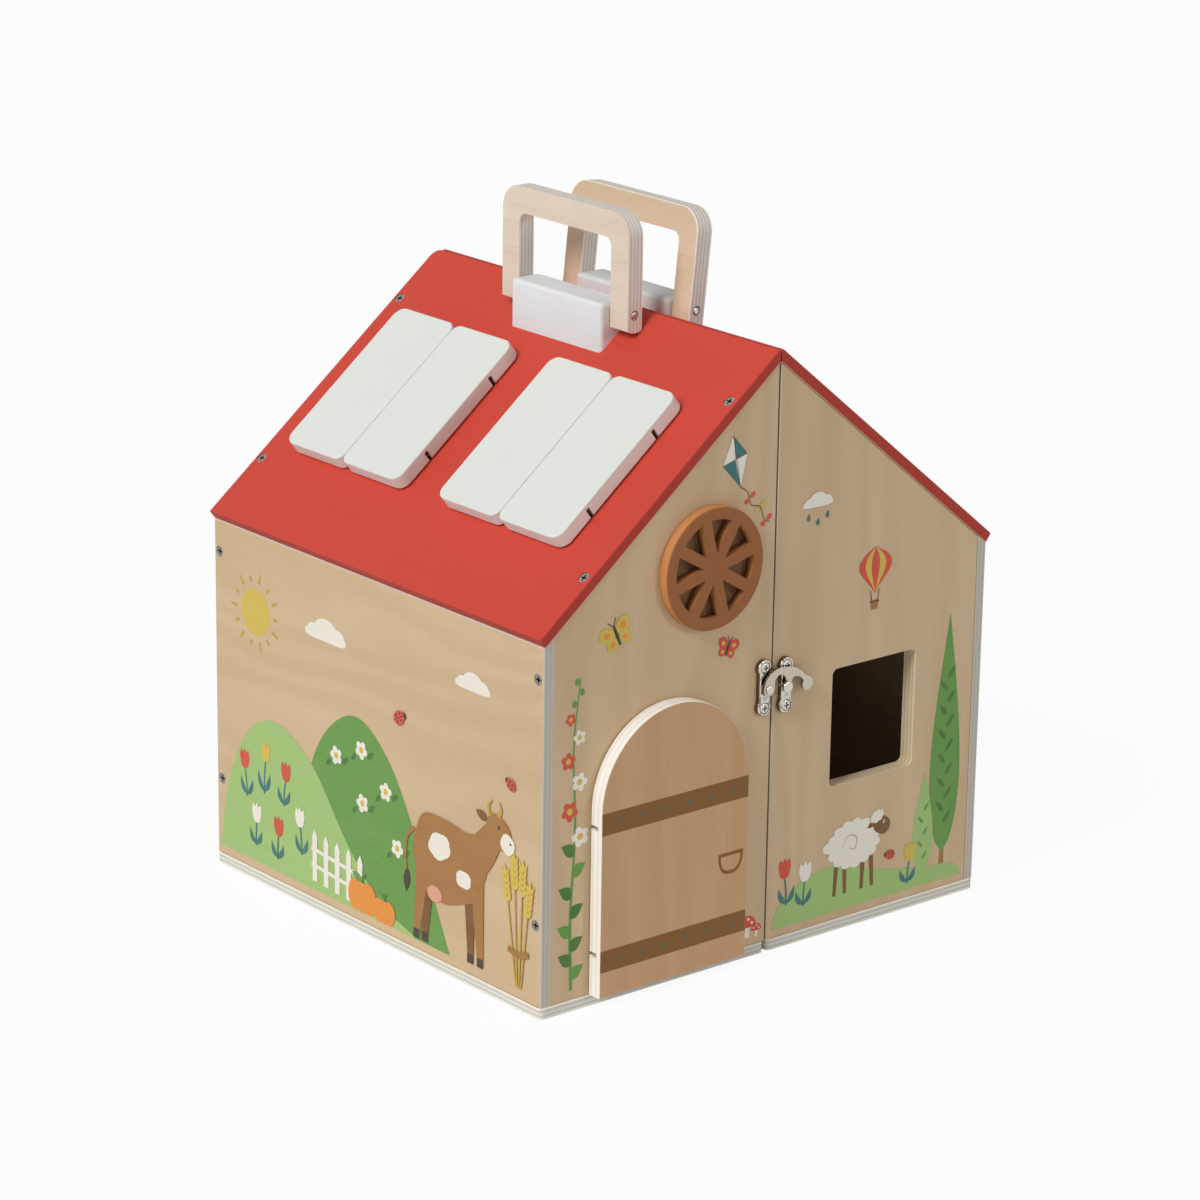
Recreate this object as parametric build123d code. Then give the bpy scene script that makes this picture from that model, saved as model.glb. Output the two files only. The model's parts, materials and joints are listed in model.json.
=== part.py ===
from build123d import *
import math
import os

# A wooden toy farmhouse in two halves that open on hinges at the back.
# Millimetres. X runs to the right as seen from the door side, Y to the back and Z up.
# The origin is on the floor under the middle of the closed house.

# House
house_width = 300.0
house_depth = 280.0
ridge_height = 324.0
roof_pitch = 39.0
eave_reach = 3.1
gable_overhang = 0.4
split_gap = 0.8
base_split_gap = 2.0
base_reach = 0.5

# Boards
wall_ply = 6.0
base_ply = 6.0
roof_ply = 6.0
gable_ply = 9.0
arris = 0.7
roof_arris = 1.2
base_corner = 3.0
ridge_corner = 5.0

# Door, its doorway and the square window
door_centre_x = -70.8
door_width = 97.4
door_height = 147.0
door_floor_gap = 0.5
door_wall_gap = 0.3
door_lap = 8.0
door_hinge_low = 22.5
door_hinge_rise = 67.5
window_centre_x = 71.9
window_centre_z = 113.4
window_width = 59.4
window_height = 65.0
window_corner = 3.5

# Round vent
vent_centre_x = -45.4
vent_below_ridge = 106.2
vent_radius = 31.9
vent_opening_radius = 25.6
vent_spoke_width = 6.0
vent_thickness = 6.0
vent_spokes = 8
vent_turn = 8.0

# Roof shutters, measured up the slope and along the depth
shutter_length = 98.7
shutter_width = 48.85
shutter_thickness = 9.0
shutter_roof_gap = 0.5
shutter_meeting_gap = 0.4
shutter_slope_centre = 99.0
shutter_offset = 2.2
shutter_pair_pitch = 131.0
shutter_hinge_spread = 53.2
shutter_outer_corner = 6.5
shutter_inner_corner = 5.5
shutter_arris = 0.8
shutter_lap = 9.0
roof_window_corner = 4.0

# Wire hinges of the door and shutters
wire_radius = 0.6
eye_radius = 1.5
eye_width = 1.6
hinge_edge = 1.8
hinge_pin_length = 12.0
hinge_back_arris = 1.5
kerf_width = 2.4
kerf_clearance = 0.4
shank_depth = 5.0
running_clearance = 0.05

# Handles and grip blocks
handle_offset = 5.5
handle_width = 103.0
handle_leg = 14.0
handle_thickness = 10.0
handle_rise = 53.0
handle_end_radius = 9.2
handle_outer_corner = 13.0
handle_inner_corner = 5.0
handle_arris = 0.8
handle_roof_clearance = 0.45
handle_pivot_x = 16.1
handle_block_clearance = 0.5
right_handle_lean = 5.9
block_inner_x = 8.0
block_outer_x = 26.8
block_top_above_pivot = 4.9
block_arris = 2.2

# Latch
plate_width = 9.0
plate_length = 30.0
plate_thickness = 2.9
plate_waist = 7.0
plate_waist_corner = 2.5
plate_screw_pitch = 21.6
pivot_plate_x = -7.2
pivot_plate_z = 146.6
catch_plate_x = 7.7
catch_plate_z = 145.3
hook_pivot_x = -6.3
hook_pivot_z = 146.2
hook_eye_radius = 3.6
hook_boss_height = 0.7
hook_thickness = 1.5
hook_gap = 0.1
rivet_radius = 1.2
rivet_head_radius = 2.3
rivet_head_height = 0.9
post_x = 5.4
post_z = 145.6
post_neck_radius = 1.3
post_head_radius = 3.1
post_head_height = 1.1
post_head_gap = 0.8
tooth_clearance = 0.25

# Hook outline, as X and Z about its pivot
hook_back_bow = (-0.4, 7.0)
hook_apex = (9.1, 10.1)
hook_arm_bow = (18.0, 8.3)
hook_shoulder = (24.4, 3.4)
hook_finger_centre = (26.4, -1.7)
hook_finger_radius = 3.6
hook_finger_front = (28.0, 1.5)
hook_finger_back = (23.4, 0.3)
hook_under_bow = (20.0, 3.4)
hook_under_end = (16.2, 3.6)
hook_eye_bow = (7.0, 6.6)
hook_eye_top = (3.6, 3.0)
tooth_tip_width = 0.9
tooth_tip_bow = (0.3, -0.1)
tooth_root_step = (-1.9, 4.0)

# Rear hinges
hinge_leaf_width = 16.0
hinge_leaf_height = 36.0
hinge_leaf_thickness = 1.2
knuckle_radius = 2.4
knuckle_bore = 1.25
knuckle_gap = 0.25
hinge_axis_back = 2.8
hinge_heights = (62.0, 205.0)
hinge_screw_pitch = 22.0

# Screws
screw_head_radius = 3.0
screw_shank_radius = 1.4
screw_head_height = 2.2
screw_length = 20.0
screw_set_back = 0.3
small_head_radius = 2.2
small_head_height = 1.1
small_shank_radius = 1.0
small_screw_length = 7.5
small_flush_set_back = 0.02
latch_head_radius = 2.8
latch_head_sink = 0.8
latch_head_room = 0.25
slot_length_ratio = 1.2
slot_width_ratio = 0.3
round_slot_ratio = 0.6
head_rounding = 0.7
plate_rounding = 0.3
pivot_head_radius = 2.1
pivot_head_height = 1.5
pivot_head_gap = 0.1
pivot_recess_radius = 2.8
pivot_recess_depth = 1.8
pivot_screw_length = 24.0
screw_clearance = 0.05
tip_clearance = 0.3
cut_margin = 1.0
wall_screw_low = 49.3
wall_screw_below_top = 16.8
roof_screw_above_eave = 40.0
roof_screw_below_ridge = 38.5
base_screw_from_wall = 12.0
base_screw_from_split = 14.0
block_screw_spread = 30.0
block_screw_length = 14.0

# Worked out from the sizes above
half_width = house_width / 2
half_depth = house_depth / 2
pitch = math.radians(roof_pitch)
eave_x = half_width + eave_reach
slope_length = eave_x / math.cos(pitch)
wall_top = ridge_height - half_width * math.tan(pitch) - roof_ply / math.cos(pitch)
wall_screw_heights = (wall_screw_low, wall_top - wall_screw_below_top)
roof_screw_slopes = (roof_screw_above_eave, slope_length - roof_screw_below_ridge)
base_screw_x = (half_width - wall_ply - base_screw_from_wall, base_screw_from_split)
vent_centre_z = ridge_height - vent_below_ridge
screw_line_y = half_depth - gable_ply / 2
door_floor_z = base_ply + door_floor_gap
door_radius = door_width / 2
door_hinge_x = door_centre_x - door_radius + hinge_edge
door_hinge_heights = (door_floor_z + door_hinge_low, door_floor_z + door_hinge_low + door_hinge_rise)
door_pin_out = door_wall_gap + gable_ply / 2
shutter_pin_up = shutter_roof_gap + shutter_thickness / 2
handle_end_reach = handle_end_radius + handle_roof_clearance
hook_back_y = -half_depth - plate_thickness - hook_boss_height - hook_gap
hook_front_y = hook_back_y - hook_thickness
hinge_axis_y = half_depth + hinge_axis_back
knuckle_height = hinge_leaf_height / 3

LEFT = -1
RIGHT = 1


def roof_z(x, depth=0.0):
    """Height of the roof's top face at x, or of the plane that lies a depth square below it."""
    return ridge_height - abs(x) * math.tan(pitch) - depth / math.cos(pitch)


def handle_pivot_z():
    """Height of the handle's pivot, where the rounded leg ends just clear the roof."""
    return roof_z(handle_pivot_x) + handle_end_reach / math.cos(pitch)


def roof_frame(side):
    """Frame on the eave's top edge: local X up the slope, local Z square out of the roof."""
    up_slope = (-side * math.cos(pitch), 0, math.sin(pitch))
    outward = (side * math.sin(pitch), 0, math.cos(pitch))
    return Plane(origin=(side * eave_x, 0, roof_z(eave_x)), x_dir=up_slope, z_dir=outward).location


def board_xz(outline, y_front, y_back):
    """Board cut to an outline of (x, z) points, between two depths."""
    plane = Plane(origin=(0, y_back, 0), x_dir=(1, 0, 0), z_dir=(0, -1, 0))
    return extrude(plane * make_face(Polyline(*outline, close=True)), y_back - y_front)


def cylinder_y(radius, x, z, y_front, y_back):
    """Round bar along Y between two depths."""
    bar = Cylinder(radius, y_back - y_front, rotation=(90, 0, 0))
    return Pos(x, (y_front + y_back) / 2, z) * bar


def axis_location(point, outward):
    """Location at a point, with local Z pointing outward."""
    return Plane(origin=point, z_dir=outward).location


def cross_slot(head_radius, depth):
    """Cross-shaped driver slot, sunk from the origin along -Z."""
    length = head_radius * slot_length_ratio
    width = head_radius * slot_width_ratio
    bars = Box(length, width, depth) + Box(width, length, depth)
    return Pos(0, 0, -depth / 2) * bars


def countersunk_screw(length, head_radius, head_height, shank_radius):
    """Countersunk cross-head screw along -Z, with the flat of its head at the origin."""
    head = Pos(0, 0, -head_height / 2) * Cone(shank_radius, head_radius, head_height)
    shank_length = length - head_height
    shank = Pos(0, 0, -head_height - shank_length / 2) * Cylinder(shank_radius, shank_length)
    return head + shank - cross_slot(head_radius, head_height / 2)


def screw_hole(length, head_radius, head_height, shank_radius, set_back):
    """Hole for a countersunk screw whose head lies a set-back under the surface at the origin."""
    mouth = Pos(0, 0, -set_back / 2) * Cylinder(head_radius + screw_clearance, set_back)
    seat = Cone(shank_radius + screw_clearance, head_radius + screw_clearance, head_height)
    seat = Pos(0, 0, -set_back - head_height / 2) * seat
    bore_length = length + set_back + tip_clearance
    bore = Pos(0, 0, -bore_length / 2) * Cylinder(shank_radius + screw_clearance, bore_length)
    return mouth + seat + bore


def wood_screws(locations, length=screw_length):
    """Countersunk wood screws, each set a little below the surface at its location."""
    screw = countersunk_screw(length, screw_head_radius, screw_head_height, screw_shank_radius)
    return Compound([place * Pos(0, 0, -screw_set_back) * screw for place in locations])


def drill(board, locations, length=screw_length):
    """Cut the holes of wood screws at these locations into a board."""
    tool = screw_hole(length, screw_head_radius, screw_head_height, screw_shank_radius, screw_set_back)
    for place in locations:
        board = board - place * tool
    return board


def roof_screw_places(side):
    """Roof screws, square to the slope and over the middle of both gables."""
    frame = roof_frame(side)
    return [frame * Pos(s, y, 0) for s in roof_screw_slopes for y in (-screw_line_y, screw_line_y)]


def wall_screw_places(side):
    """Side wall screws, into the edges of both gables."""
    return [
        axis_location((side * half_width, y, z), (side, 0, 0))
        for z in wall_screw_heights
        for y in (-screw_line_y, screw_line_y)
    ]


def base_screw_places(side):
    """Screws from below through the base into both gables."""
    return [
        axis_location((side * x, y, 0), (0, 0, -1))
        for x in base_screw_x
        for y in (-screw_line_y, screw_line_y)
    ]


def block_screw_places(side):
    """Screws from inside through the roof into the grip block."""
    middle_x = (block_inner_x + block_outer_x) / 2
    up_slope = slope_length - middle_x / math.cos(pitch)
    inward = roof_frame(side) * Pos(up_slope, 0, -roof_ply) * Rot(180, 0, 0)
    spread = block_screw_spread / 2
    return [inward * Pos(0, -handle_offset + step, 0) for step in (-spread, spread)]


def base_board(side):
    """Base board of one half, with rounded corners and eased edges."""
    inner = base_split_gap / 2
    outer = half_width + base_reach
    width = outer - inner
    board = Box(width, house_depth + 2 * base_reach, base_ply)
    board = fillet(board.edges().filter_by(Axis.Z), base_corner)
    board = fillet(board.faces().sort_by(Axis.Z)[-1].edges(), arris)
    board = Pos(side * (inner + width / 2), 0, base_ply / 2) * board
    return drill(board, base_screw_places(side))


def side_wall(side):
    """Side wall, bevelled at its top to seat under the roof board."""
    inner = half_width - wall_ply
    outline = [
        (side * half_width, base_ply),
        (side * inner, base_ply),
        (side * inner, roof_z(inner, roof_ply)),
        (side * half_width, roof_z(half_width, roof_ply)),
    ]
    wall = board_xz(outline, -half_depth, half_depth)
    outer_face = wall.faces().sort_by(Axis.X)[-1 if side == RIGHT else 0]
    wall = fillet(outer_face.edges(), arris)
    return drill(wall, wall_screw_places(side))


def plain_gable(side, end):
    """Gable board of one half: end is -1 at the front and 1 at the back."""
    outer = half_width - wall_ply
    inner = split_gap / 2
    outline = [
        (side * outer, base_ply),
        (side * outer, roof_z(outer, roof_ply)),
        (side * inner, roof_z(inner, roof_ply)),
        (side * inner, base_ply),
    ]
    near = half_depth - gable_ply
    depths = sorted((end * near, end * half_depth))
    board = board_xz(outline, depths[0], depths[1])
    show_face = board.faces().sort_by(Axis.Y)[-1 if end > 0 else 0]
    board = fillet(show_face.edges(), arris)
    screws = wall_screw_places(side) + roof_screw_places(side) + base_screw_places(side)
    return drill(board, [place for place in screws if place.position.Y * end > 0])


def arch(centre_x, floor_z, width, height):
    """Face in XZ with a straight foot and a half-round head."""
    radius = width / 2
    spring = floor_z + height - radius
    left = (centre_x - radius, spring)
    right = (centre_x + radius, spring)
    foot = Polyline(right, (centre_x + radius, floor_z), (centre_x - radius, floor_z), left)
    head = ThreePointArc(left, (centre_x, spring + radius), right)
    return make_face(Curve() + [foot, head])


def arch_board(centre_x, floor_z, width, height, y_front, y_back):
    """Arched board between two depths."""
    plane = Plane(origin=(0, y_back, 0), x_dir=(1, 0, 0), z_dir=(0, -1, 0))
    return extrude(plane * arch(centre_x, floor_z, width, height), y_back - y_front)


def door_hinge_frames():
    """Frames on the door's pin line: local X up the pin, local Z out of the wall."""
    y = -half_depth - door_pin_out
    return [
        Plane(origin=(door_hinge_x, y, z), x_dir=(0, 0, 1), z_dir=(0, -1, 0)).location
        for z in door_hinge_heights
    ]


def front_gable_left():
    """Left front gable with the doorway and the bores of the door's eyes and the latch."""
    board = plain_gable(LEFT, -1)
    doorway = arch_board(
        door_centre_x,
        door_floor_z + door_lap,
        door_width - 2 * door_lap,
        door_height - 2 * door_lap,
        -half_depth - cut_margin,
        -half_depth + gable_ply + cut_margin,
    )
    board = board - doorway
    board = board - [frame * shank_bore(door_pin_out) for frame in door_hinge_frames()]
    return board - small_screw_holes(latch_screw_places(pivot_plate_x, pivot_plate_z))


def front_gable_right():
    """Right front gable with the square window."""
    board = plain_gable(RIGHT, -1)
    window = Box(window_width, 3 * gable_ply, window_height)
    window = fillet(window.edges().filter_by(Axis.Y), window_corner)
    board = board - Pos(window_centre_x, -half_depth, window_centre_z) * window
    return board - small_screw_holes(latch_screw_places(catch_plate_x, catch_plate_z))


def rear_gable(side):
    """Rear gable with the bores of its hinge screws."""
    return plain_gable(side, 1) - small_screw_holes(hinge_screw_places(side))


def roof_board(side):
    """Roof board with a vertical mitre at the ridge and a rounded rear ridge corner."""
    inner = split_gap / 2
    outline = [
        (side * eave_x, roof_z(eave_x)),
        (side * inner, roof_z(inner)),
        (side * inner, roof_z(inner, roof_ply)),
        (
            side * (eave_x - roof_ply * math.sin(pitch)),
            roof_z(eave_x) - roof_ply * math.cos(pitch),
        ),
    ]
    reach = half_depth + gable_overhang
    board = board_xz(outline, -reach, reach)
    mitre = board.faces().sort_by(Axis.X)[0 if side == RIGHT else -1]
    board = fillet(mitre.edges().sort_by(Axis.Y)[-1], ridge_corner)
    outward = Vector(side * math.sin(pitch), 0, math.cos(pitch))
    top = max(board.faces(), key=lambda face: face.normal_at().dot(outward) * face.area)
    rim = [edge for edge in top.edges() if abs(edge.center().X) > inner + ridge_corner]
    board = fillet(rim, roof_arris)
    board = drill(board, block_screw_places(side), block_screw_length)
    return drill(board, roof_screw_places(side))


def shutter_frames():
    """Frames on the shutters' pin lines by name, with the way in which each leaf reaches."""
    frames = {}
    pair_width = 2 * shutter_width + shutter_meeting_gap
    for pair, sign in (("front", -1), ("rear", 1)):
        centre = shutter_offset + sign * shutter_pair_pitch / 2
        for leaf, way in (("a", 1), ("b", -1)):
            pin_y = centre - way * (pair_width / 2 - hinge_edge)
            place = roof_frame(LEFT) * Pos(shutter_slope_centre, pin_y, shutter_pin_up)
            frames["shutter_" + pair + "_" + leaf] = (place, way)
    return frames


def roof_left():
    """Left roof board with the two window holes and the bores of the shutters' eyes."""
    board = roof_board(LEFT)
    pair_width = 2 * shutter_width + shutter_meeting_gap
    hole = Box(shutter_length - 2 * shutter_lap, pair_width - 2 * shutter_lap, 3 * roof_ply)
    hole = fillet(hole.edges().filter_by(Axis.Z), roof_window_corner)
    for sign in (-1, 1):
        centre = shutter_offset + sign * shutter_pair_pitch / 2
        board = board - roof_frame(LEFT) * Pos(shutter_slope_centre, centre, 0) * hole
    for frame, way in shutter_frames().values():
        board = board - [frame * Pos(step, 0, 0) * shank_bore(shutter_pin_up) for step in shutter_steps()]
    return board


def shutter_steps():
    """Places of a leaf's two hinges along its pin line."""
    return (-shutter_hinge_spread / 2, shutter_hinge_spread / 2)


def shank_bore(pin_out):
    """Bore for an eye's shank, which enters the board a pin's height below the pin."""
    length = shank_depth + tip_clearance
    bore = Cylinder(wire_radius + screw_clearance, length)
    return Pos(0, 0, -pin_out - length / 2) * bore


def hinge_eye(pin_out):
    """Wire eye round the pin at the origin, with its shank down into the board."""
    ring = Cylinder(eye_radius, eye_width, rotation=(0, 90, 0))
    shank_length = pin_out + shank_depth
    shank = Pos(0, 0, -shank_length / 2) * Cylinder(wire_radius, shank_length)
    bore = Cylinder(wire_radius + running_clearance, 2 * eye_width, rotation=(0, 90, 0))
    return ring + shank - bore


def hinge_pin():
    """Cross pin of a wire hinge, along local X."""
    return Cylinder(wire_radius, hinge_pin_length, rotation=(0, 90, 0))


def hinge_kerf(thickness, way):
    """Cut for an eye from the back and the edge of a leaf, with the pin's bore."""
    reach = hinge_edge + eye_radius + kerf_clearance
    depth = thickness / 2 + eye_radius + kerf_clearance
    kerf = Box(kerf_width, reach, depth)
    kerf = Pos(0, way * (reach / 2 - hinge_edge), (depth - thickness) / 2) * kerf
    bore_length = hinge_pin_length + 2 * tip_clearance
    bore = Cylinder(wire_radius + screw_clearance, bore_length, rotation=(0, 90, 0))
    return kerf + bore


def shutter_leaf(way):
    """Shutter leaf with its pin line on local X and its face towards local Z."""
    leaf = Box(shutter_length, shutter_width, shutter_thickness)
    upright = leaf.edges().filter_by(Axis.Z).sort_by(Axis.Y)
    hinge_side = upright[:2] if way > 0 else upright[2:]
    leaf = fillet(hinge_side, shutter_outer_corner)
    upright = leaf.edges().filter_by(Axis.Z).sort_by(Axis.Y)
    meeting_side = upright[-2:] if way > 0 else upright[:2]
    leaf = fillet(meeting_side, shutter_inner_corner)
    leaf = fillet(leaf.faces().sort_by(Axis.Z)[-1].edges(), shutter_arris)
    leaf = fillet(leaf.faces().sort_by(Axis.Z)[0].edges(), hinge_back_arris)
    leaf = Pos(0, way * (shutter_width / 2 - hinge_edge), 0) * leaf
    return leaf - [Pos(step, 0, 0) * hinge_kerf(shutter_thickness, way) for step in shutter_steps()]


def door_board():
    """Arched door, eased all round, with the kerfs and pin bores of its hinges."""
    back_y = -half_depth - door_wall_gap
    board = arch_board(door_centre_x, door_floor_z, door_width, door_height, back_y - gable_ply, back_y)
    board = fillet(board.faces().sort_by(Axis.Y)[0].edges(), arris)
    back = board.faces().sort_by(Axis.Y)[-1]
    hinge_side = back.edges().filter_by(Axis.Z).sort_by(Axis.X)[0]
    board = fillet(hinge_side, hinge_back_arris)
    return board - [frame * hinge_kerf(gable_ply, -1) for frame in door_hinge_frames()]


def round_vent():
    """Round vent disc with its spokes."""
    origin = (vent_centre_x, -half_depth, vent_centre_z)
    plane = Plane(origin=origin, x_dir=(1, 0, 0), z_dir=(0, -1, 0))
    step = 360 / vent_spokes
    spoke = Rectangle(vent_radius, vent_spoke_width)
    spokes = [
        Rot(0, 0, step * (turn + 0.5) - vent_turn) * Pos(vent_radius / 2, 0) * spoke
        for turn in range(vent_spokes)
    ]
    openings = Circle(vent_opening_radius) - spokes
    disc = extrude(Circle(vent_radius), vent_thickness)
    disc = fillet(disc.faces().sort_by(Axis.Z)[-1].edges(), arris)
    disc = disc - extrude(openings, vent_thickness)
    return plane.location * disc


def grip_block():
    """Left grip block, cut to the slope of the roof under it."""
    top = handle_pivot_z() + block_top_above_pivot
    outline = [
        (-block_outer_x, roof_z(block_outer_x)),
        (-block_outer_x, top),
        (-block_inner_x, top),
        (-block_inner_x, roof_z(block_inner_x)),
    ]
    half_length = handle_width / 2 - handle_leg - handle_block_clearance
    block = board_xz(outline, handle_offset - half_length, handle_offset + half_length)
    rounded = block.edges().filter_by(Axis.Z) + block.faces().sort_by(Axis.Z)[-1].edges()
    block = fillet(rounded, block_arris)
    block = drill(block, block_screw_places(LEFT), block_screw_length)
    return block - [place * pivot_hole() for place in pivot_places()]


def pivot_places():
    """Left handle's pivot screws, entering from the outer sides of its legs."""
    z = handle_pivot_z()
    return [
        axis_location((-handle_pivot_x, handle_offset + way * handle_width / 2, z), (0, way, 0))
        for way in (-1, 1)
    ]


def pivot_hole():
    """Hole of a handle's pivot screw: a round recess in the leg and a bore into the block."""
    recess = Pos(0, 0, -pivot_recess_depth / 2) * Cylinder(pivot_recess_radius, pivot_recess_depth)
    length = pivot_screw_length + tip_clearance
    bore = Pos(0, 0, -length / 2) * Cylinder(screw_shank_radius + screw_clearance, length)
    return recess + bore


def pivot_screw():
    """Pivot screw along -Z, with its domed head in the recess under the origin."""
    seat = pivot_head_gap - pivot_recess_depth
    head = Pos(0, 0, seat + pivot_head_height / 2) * Cylinder(pivot_head_radius, pivot_head_height)
    head = fillet(head.faces().sort_by(Axis.Z)[-1].edges(), pivot_head_height * head_rounding)
    shank_length = pivot_screw_length + seat
    shank = Pos(0, 0, seat - shank_length / 2) * Cylinder(screw_shank_radius, shank_length)
    return head + shank


def pivot_screws():
    """Two pivot screws of the left handle."""
    return Compound([place * pivot_screw() for place in pivot_places()])


def carrying_handle():
    """Left handle, upright, with its legs straddling the block and rounded about the pivot."""
    foot = handle_end_radius
    height = handle_rise + foot
    outer = Pos(0, height / 2 - foot) * Rectangle(handle_width, height)
    outer = fillet(outer.vertices().group_by(Axis.Y)[-1], handle_outer_corner)
    inner_width = handle_width - 2 * handle_leg
    inner_height = height - handle_leg
    inner = Pos(0, inner_height / 2 - foot) * Rectangle(inner_width, inner_height)
    inner = fillet(inner.vertices().group_by(Axis.Y)[-1], handle_inner_corner)
    plane = Plane(
        origin=(-handle_pivot_x - handle_thickness / 2, handle_offset, handle_pivot_z()),
        x_dir=(0, 1, 0),
        z_dir=(1, 0, 0),
    )
    handle = extrude(plane * (outer - inner), handle_thickness)
    for face in (handle.faces().sort_by(Axis.X)[0], handle.faces().sort_by(Axis.X)[-1]):
        rim = [edge for edge in face.edges() if edge.center().Z > handle_pivot_z()]
        handle = fillet(rim, handle_arris)
    half_box = Pos(0, 0, height / 2) * Box(4 * handle_thickness, 2 * handle_width, height)
    rounded_end = Cylinder(foot, 2 * handle_width, rotation=(90, 0, 0))
    envelope = Pos(-handle_pivot_x, handle_offset, handle_pivot_z()) * (half_box + rounded_end)
    handle = handle & envelope
    return handle - [place * pivot_hole() for place in pivot_places()]


def half_turn(part):
    """The same part on the other half, turned about the house's vertical middle line."""
    return Rot(0, 0, 180) * part


def right_handle():
    """Right handle, which leans a little outward about its pivot."""
    pivot = Pos(handle_pivot_x, 0, handle_pivot_z())
    return pivot * Rot(0, right_handle_lean, 0) * pivot.inverse() * half_turn(carrying_handle())


def round_head_screw():
    """Small cross-head screw along -Z, with its rounded head standing on the origin."""
    head = Pos(0, 0, small_head_height / 2) * Cylinder(latch_head_radius, small_head_height)
    head = fillet(head.faces().sort_by(Axis.Z)[-1].edges(), small_head_height * head_rounding)
    shank = Pos(0, 0, -small_screw_length / 2) * Cylinder(small_shank_radius, small_screw_length)
    slot = cross_slot(latch_head_radius, small_head_height * round_slot_ratio)
    return head + shank - Pos(0, 0, small_head_height) * slot


def small_screw_holes(places):
    """Bores for small screws, to be cut at their places."""
    length = small_screw_length + tip_clearance
    bore = Pos(0, 0, -length / 2) * Cylinder(small_shank_radius + screw_clearance, length)
    return [place * bore for place in places]


def latch_screw_places(plate_x, plate_z):
    """Seats of a latch plate's screw heads, sunk a little into the plate's face."""
    face_y = -half_depth - plate_thickness + latch_head_sink
    step = plate_screw_pitch / 2
    return [axis_location((plate_x, face_y, plate_z + way * step), (0, -1, 0)) for way in (-1, 1)]


def latch_screws(plate_x, plate_z):
    """Round-head screws of one latch plate."""
    return Compound([place * round_head_screw() for place in latch_screw_places(plate_x, plate_z)])


def latch_plate(plate_x, plate_z):
    """Cast plate, flat on the gable: two round ends with sunk screw seats, and a narrower waist."""
    plane = Plane(origin=(plate_x, -half_depth, plate_z), x_dir=(1, 0, 0), z_dir=(0, -1, 0))
    reach = (plate_length - plate_width) / 2
    end = Circle(plate_width / 2)
    outline = Rectangle(plate_waist, 2 * reach) + Pos(0, reach) * end + Pos(0, -reach) * end
    waist_ends = [corner for corner in outline.vertices() if abs(abs(corner.X) - plate_waist / 2) < tip_clearance]
    outline = fillet(waist_ends, plate_waist_corner)
    plate = extrude(outline, plate_thickness)
    plate = fillet(plate.faces().sort_by(Axis.Z)[-1].edges(), plate_thickness * plate_rounding)
    seat = Cylinder(latch_head_radius + latch_head_room, 2 * latch_head_sink)
    seats = [place * Pos(0, 0, latch_head_sink) * seat for place in latch_screw_places(plate_x, plate_z)]
    return plane.location * plate - seats - small_screw_holes(latch_screw_places(plate_x, plate_z))


def pivot_plate():
    """Left latch plate, raised to a round boss under the hook."""
    boss_front = -half_depth - plate_thickness - hook_boss_height
    boss = cylinder_y(hook_eye_radius, hook_pivot_x, hook_pivot_z, boss_front, -half_depth)
    bore = cylinder_y(
        rivet_radius + running_clearance,
        hook_pivot_x,
        hook_pivot_z,
        boss_front - cut_margin,
        -half_depth + cut_margin,
    )
    return latch_plate(pivot_plate_x, pivot_plate_z) + boss - bore


def hook_rivet():
    """Rivet through the boss and the hook, with a rounded head."""
    head_back = hook_front_y - hook_gap
    head_front = head_back - rivet_head_height
    head = cylinder_y(rivet_head_radius, hook_pivot_x, hook_pivot_z, head_front, head_back)
    head = fillet(head.faces().sort_by(Axis.Y)[0].edges(), rivet_head_height * head_rounding)
    return head + cylinder_y(rivet_radius, hook_pivot_x, hook_pivot_z, head_back, -half_depth)


def hook_outline():
    """Hook in XZ about its pivot: an arched arm, a tooth behind the post and a finger disc."""
    eye = hook_eye_radius
    tip_z = post_z - hook_pivot_z
    tooth_x = post_x - hook_pivot_x + post_neck_radius + tooth_clearance
    tip = (tooth_x, tip_z)
    tip_bow = (tooth_x + tooth_tip_bow[0], tip_z + tooth_tip_bow[1])
    tip_end = (tooth_x + tooth_tip_width, tip_z)
    tooth_root = (tooth_x + tooth_root_step[0], tip_z + tooth_root_step[1])
    arm = Curve() + [
        ThreePointArc((-eye, 0), hook_back_bow, hook_apex),
        ThreePointArc(hook_apex, hook_arm_bow, hook_shoulder),
        Line(hook_shoulder, hook_finger_front),
        Line(hook_finger_front, hook_finger_back),
        ThreePointArc(hook_finger_back, hook_under_bow, hook_under_end),
        Line(hook_under_end, tip_end),
        ThreePointArc(tip_end, tip_bow, tip),
        Line(tip, tooth_root),
        ThreePointArc(tooth_root, hook_eye_bow, hook_eye_top),
        Line(hook_eye_top, (eye, 0)),
        Line((eye, 0), (-eye, 0)),
    ]
    finger = Pos(*hook_finger_centre) * Circle(hook_finger_radius)
    return make_face(arm) + Circle(eye) + finger


def latch_hook():
    """Swinging hook, bored for its rivet."""
    plane = Plane(origin=(hook_pivot_x, hook_back_y, hook_pivot_z), x_dir=(1, 0, 0), z_dir=(0, -1, 0))
    hook = extrude(hook_outline() - Circle(rivet_radius + running_clearance), hook_thickness)
    return plane.location * hook


def catch_plate():
    """Right latch plate with the bore of its post."""
    plate_front = -half_depth - plate_thickness
    bore = cylinder_y(
        post_neck_radius + screw_clearance,
        post_x,
        post_z,
        plate_front - cut_margin,
        -half_depth + cut_margin,
    )
    return latch_plate(catch_plate_x, catch_plate_z) - bore


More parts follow.
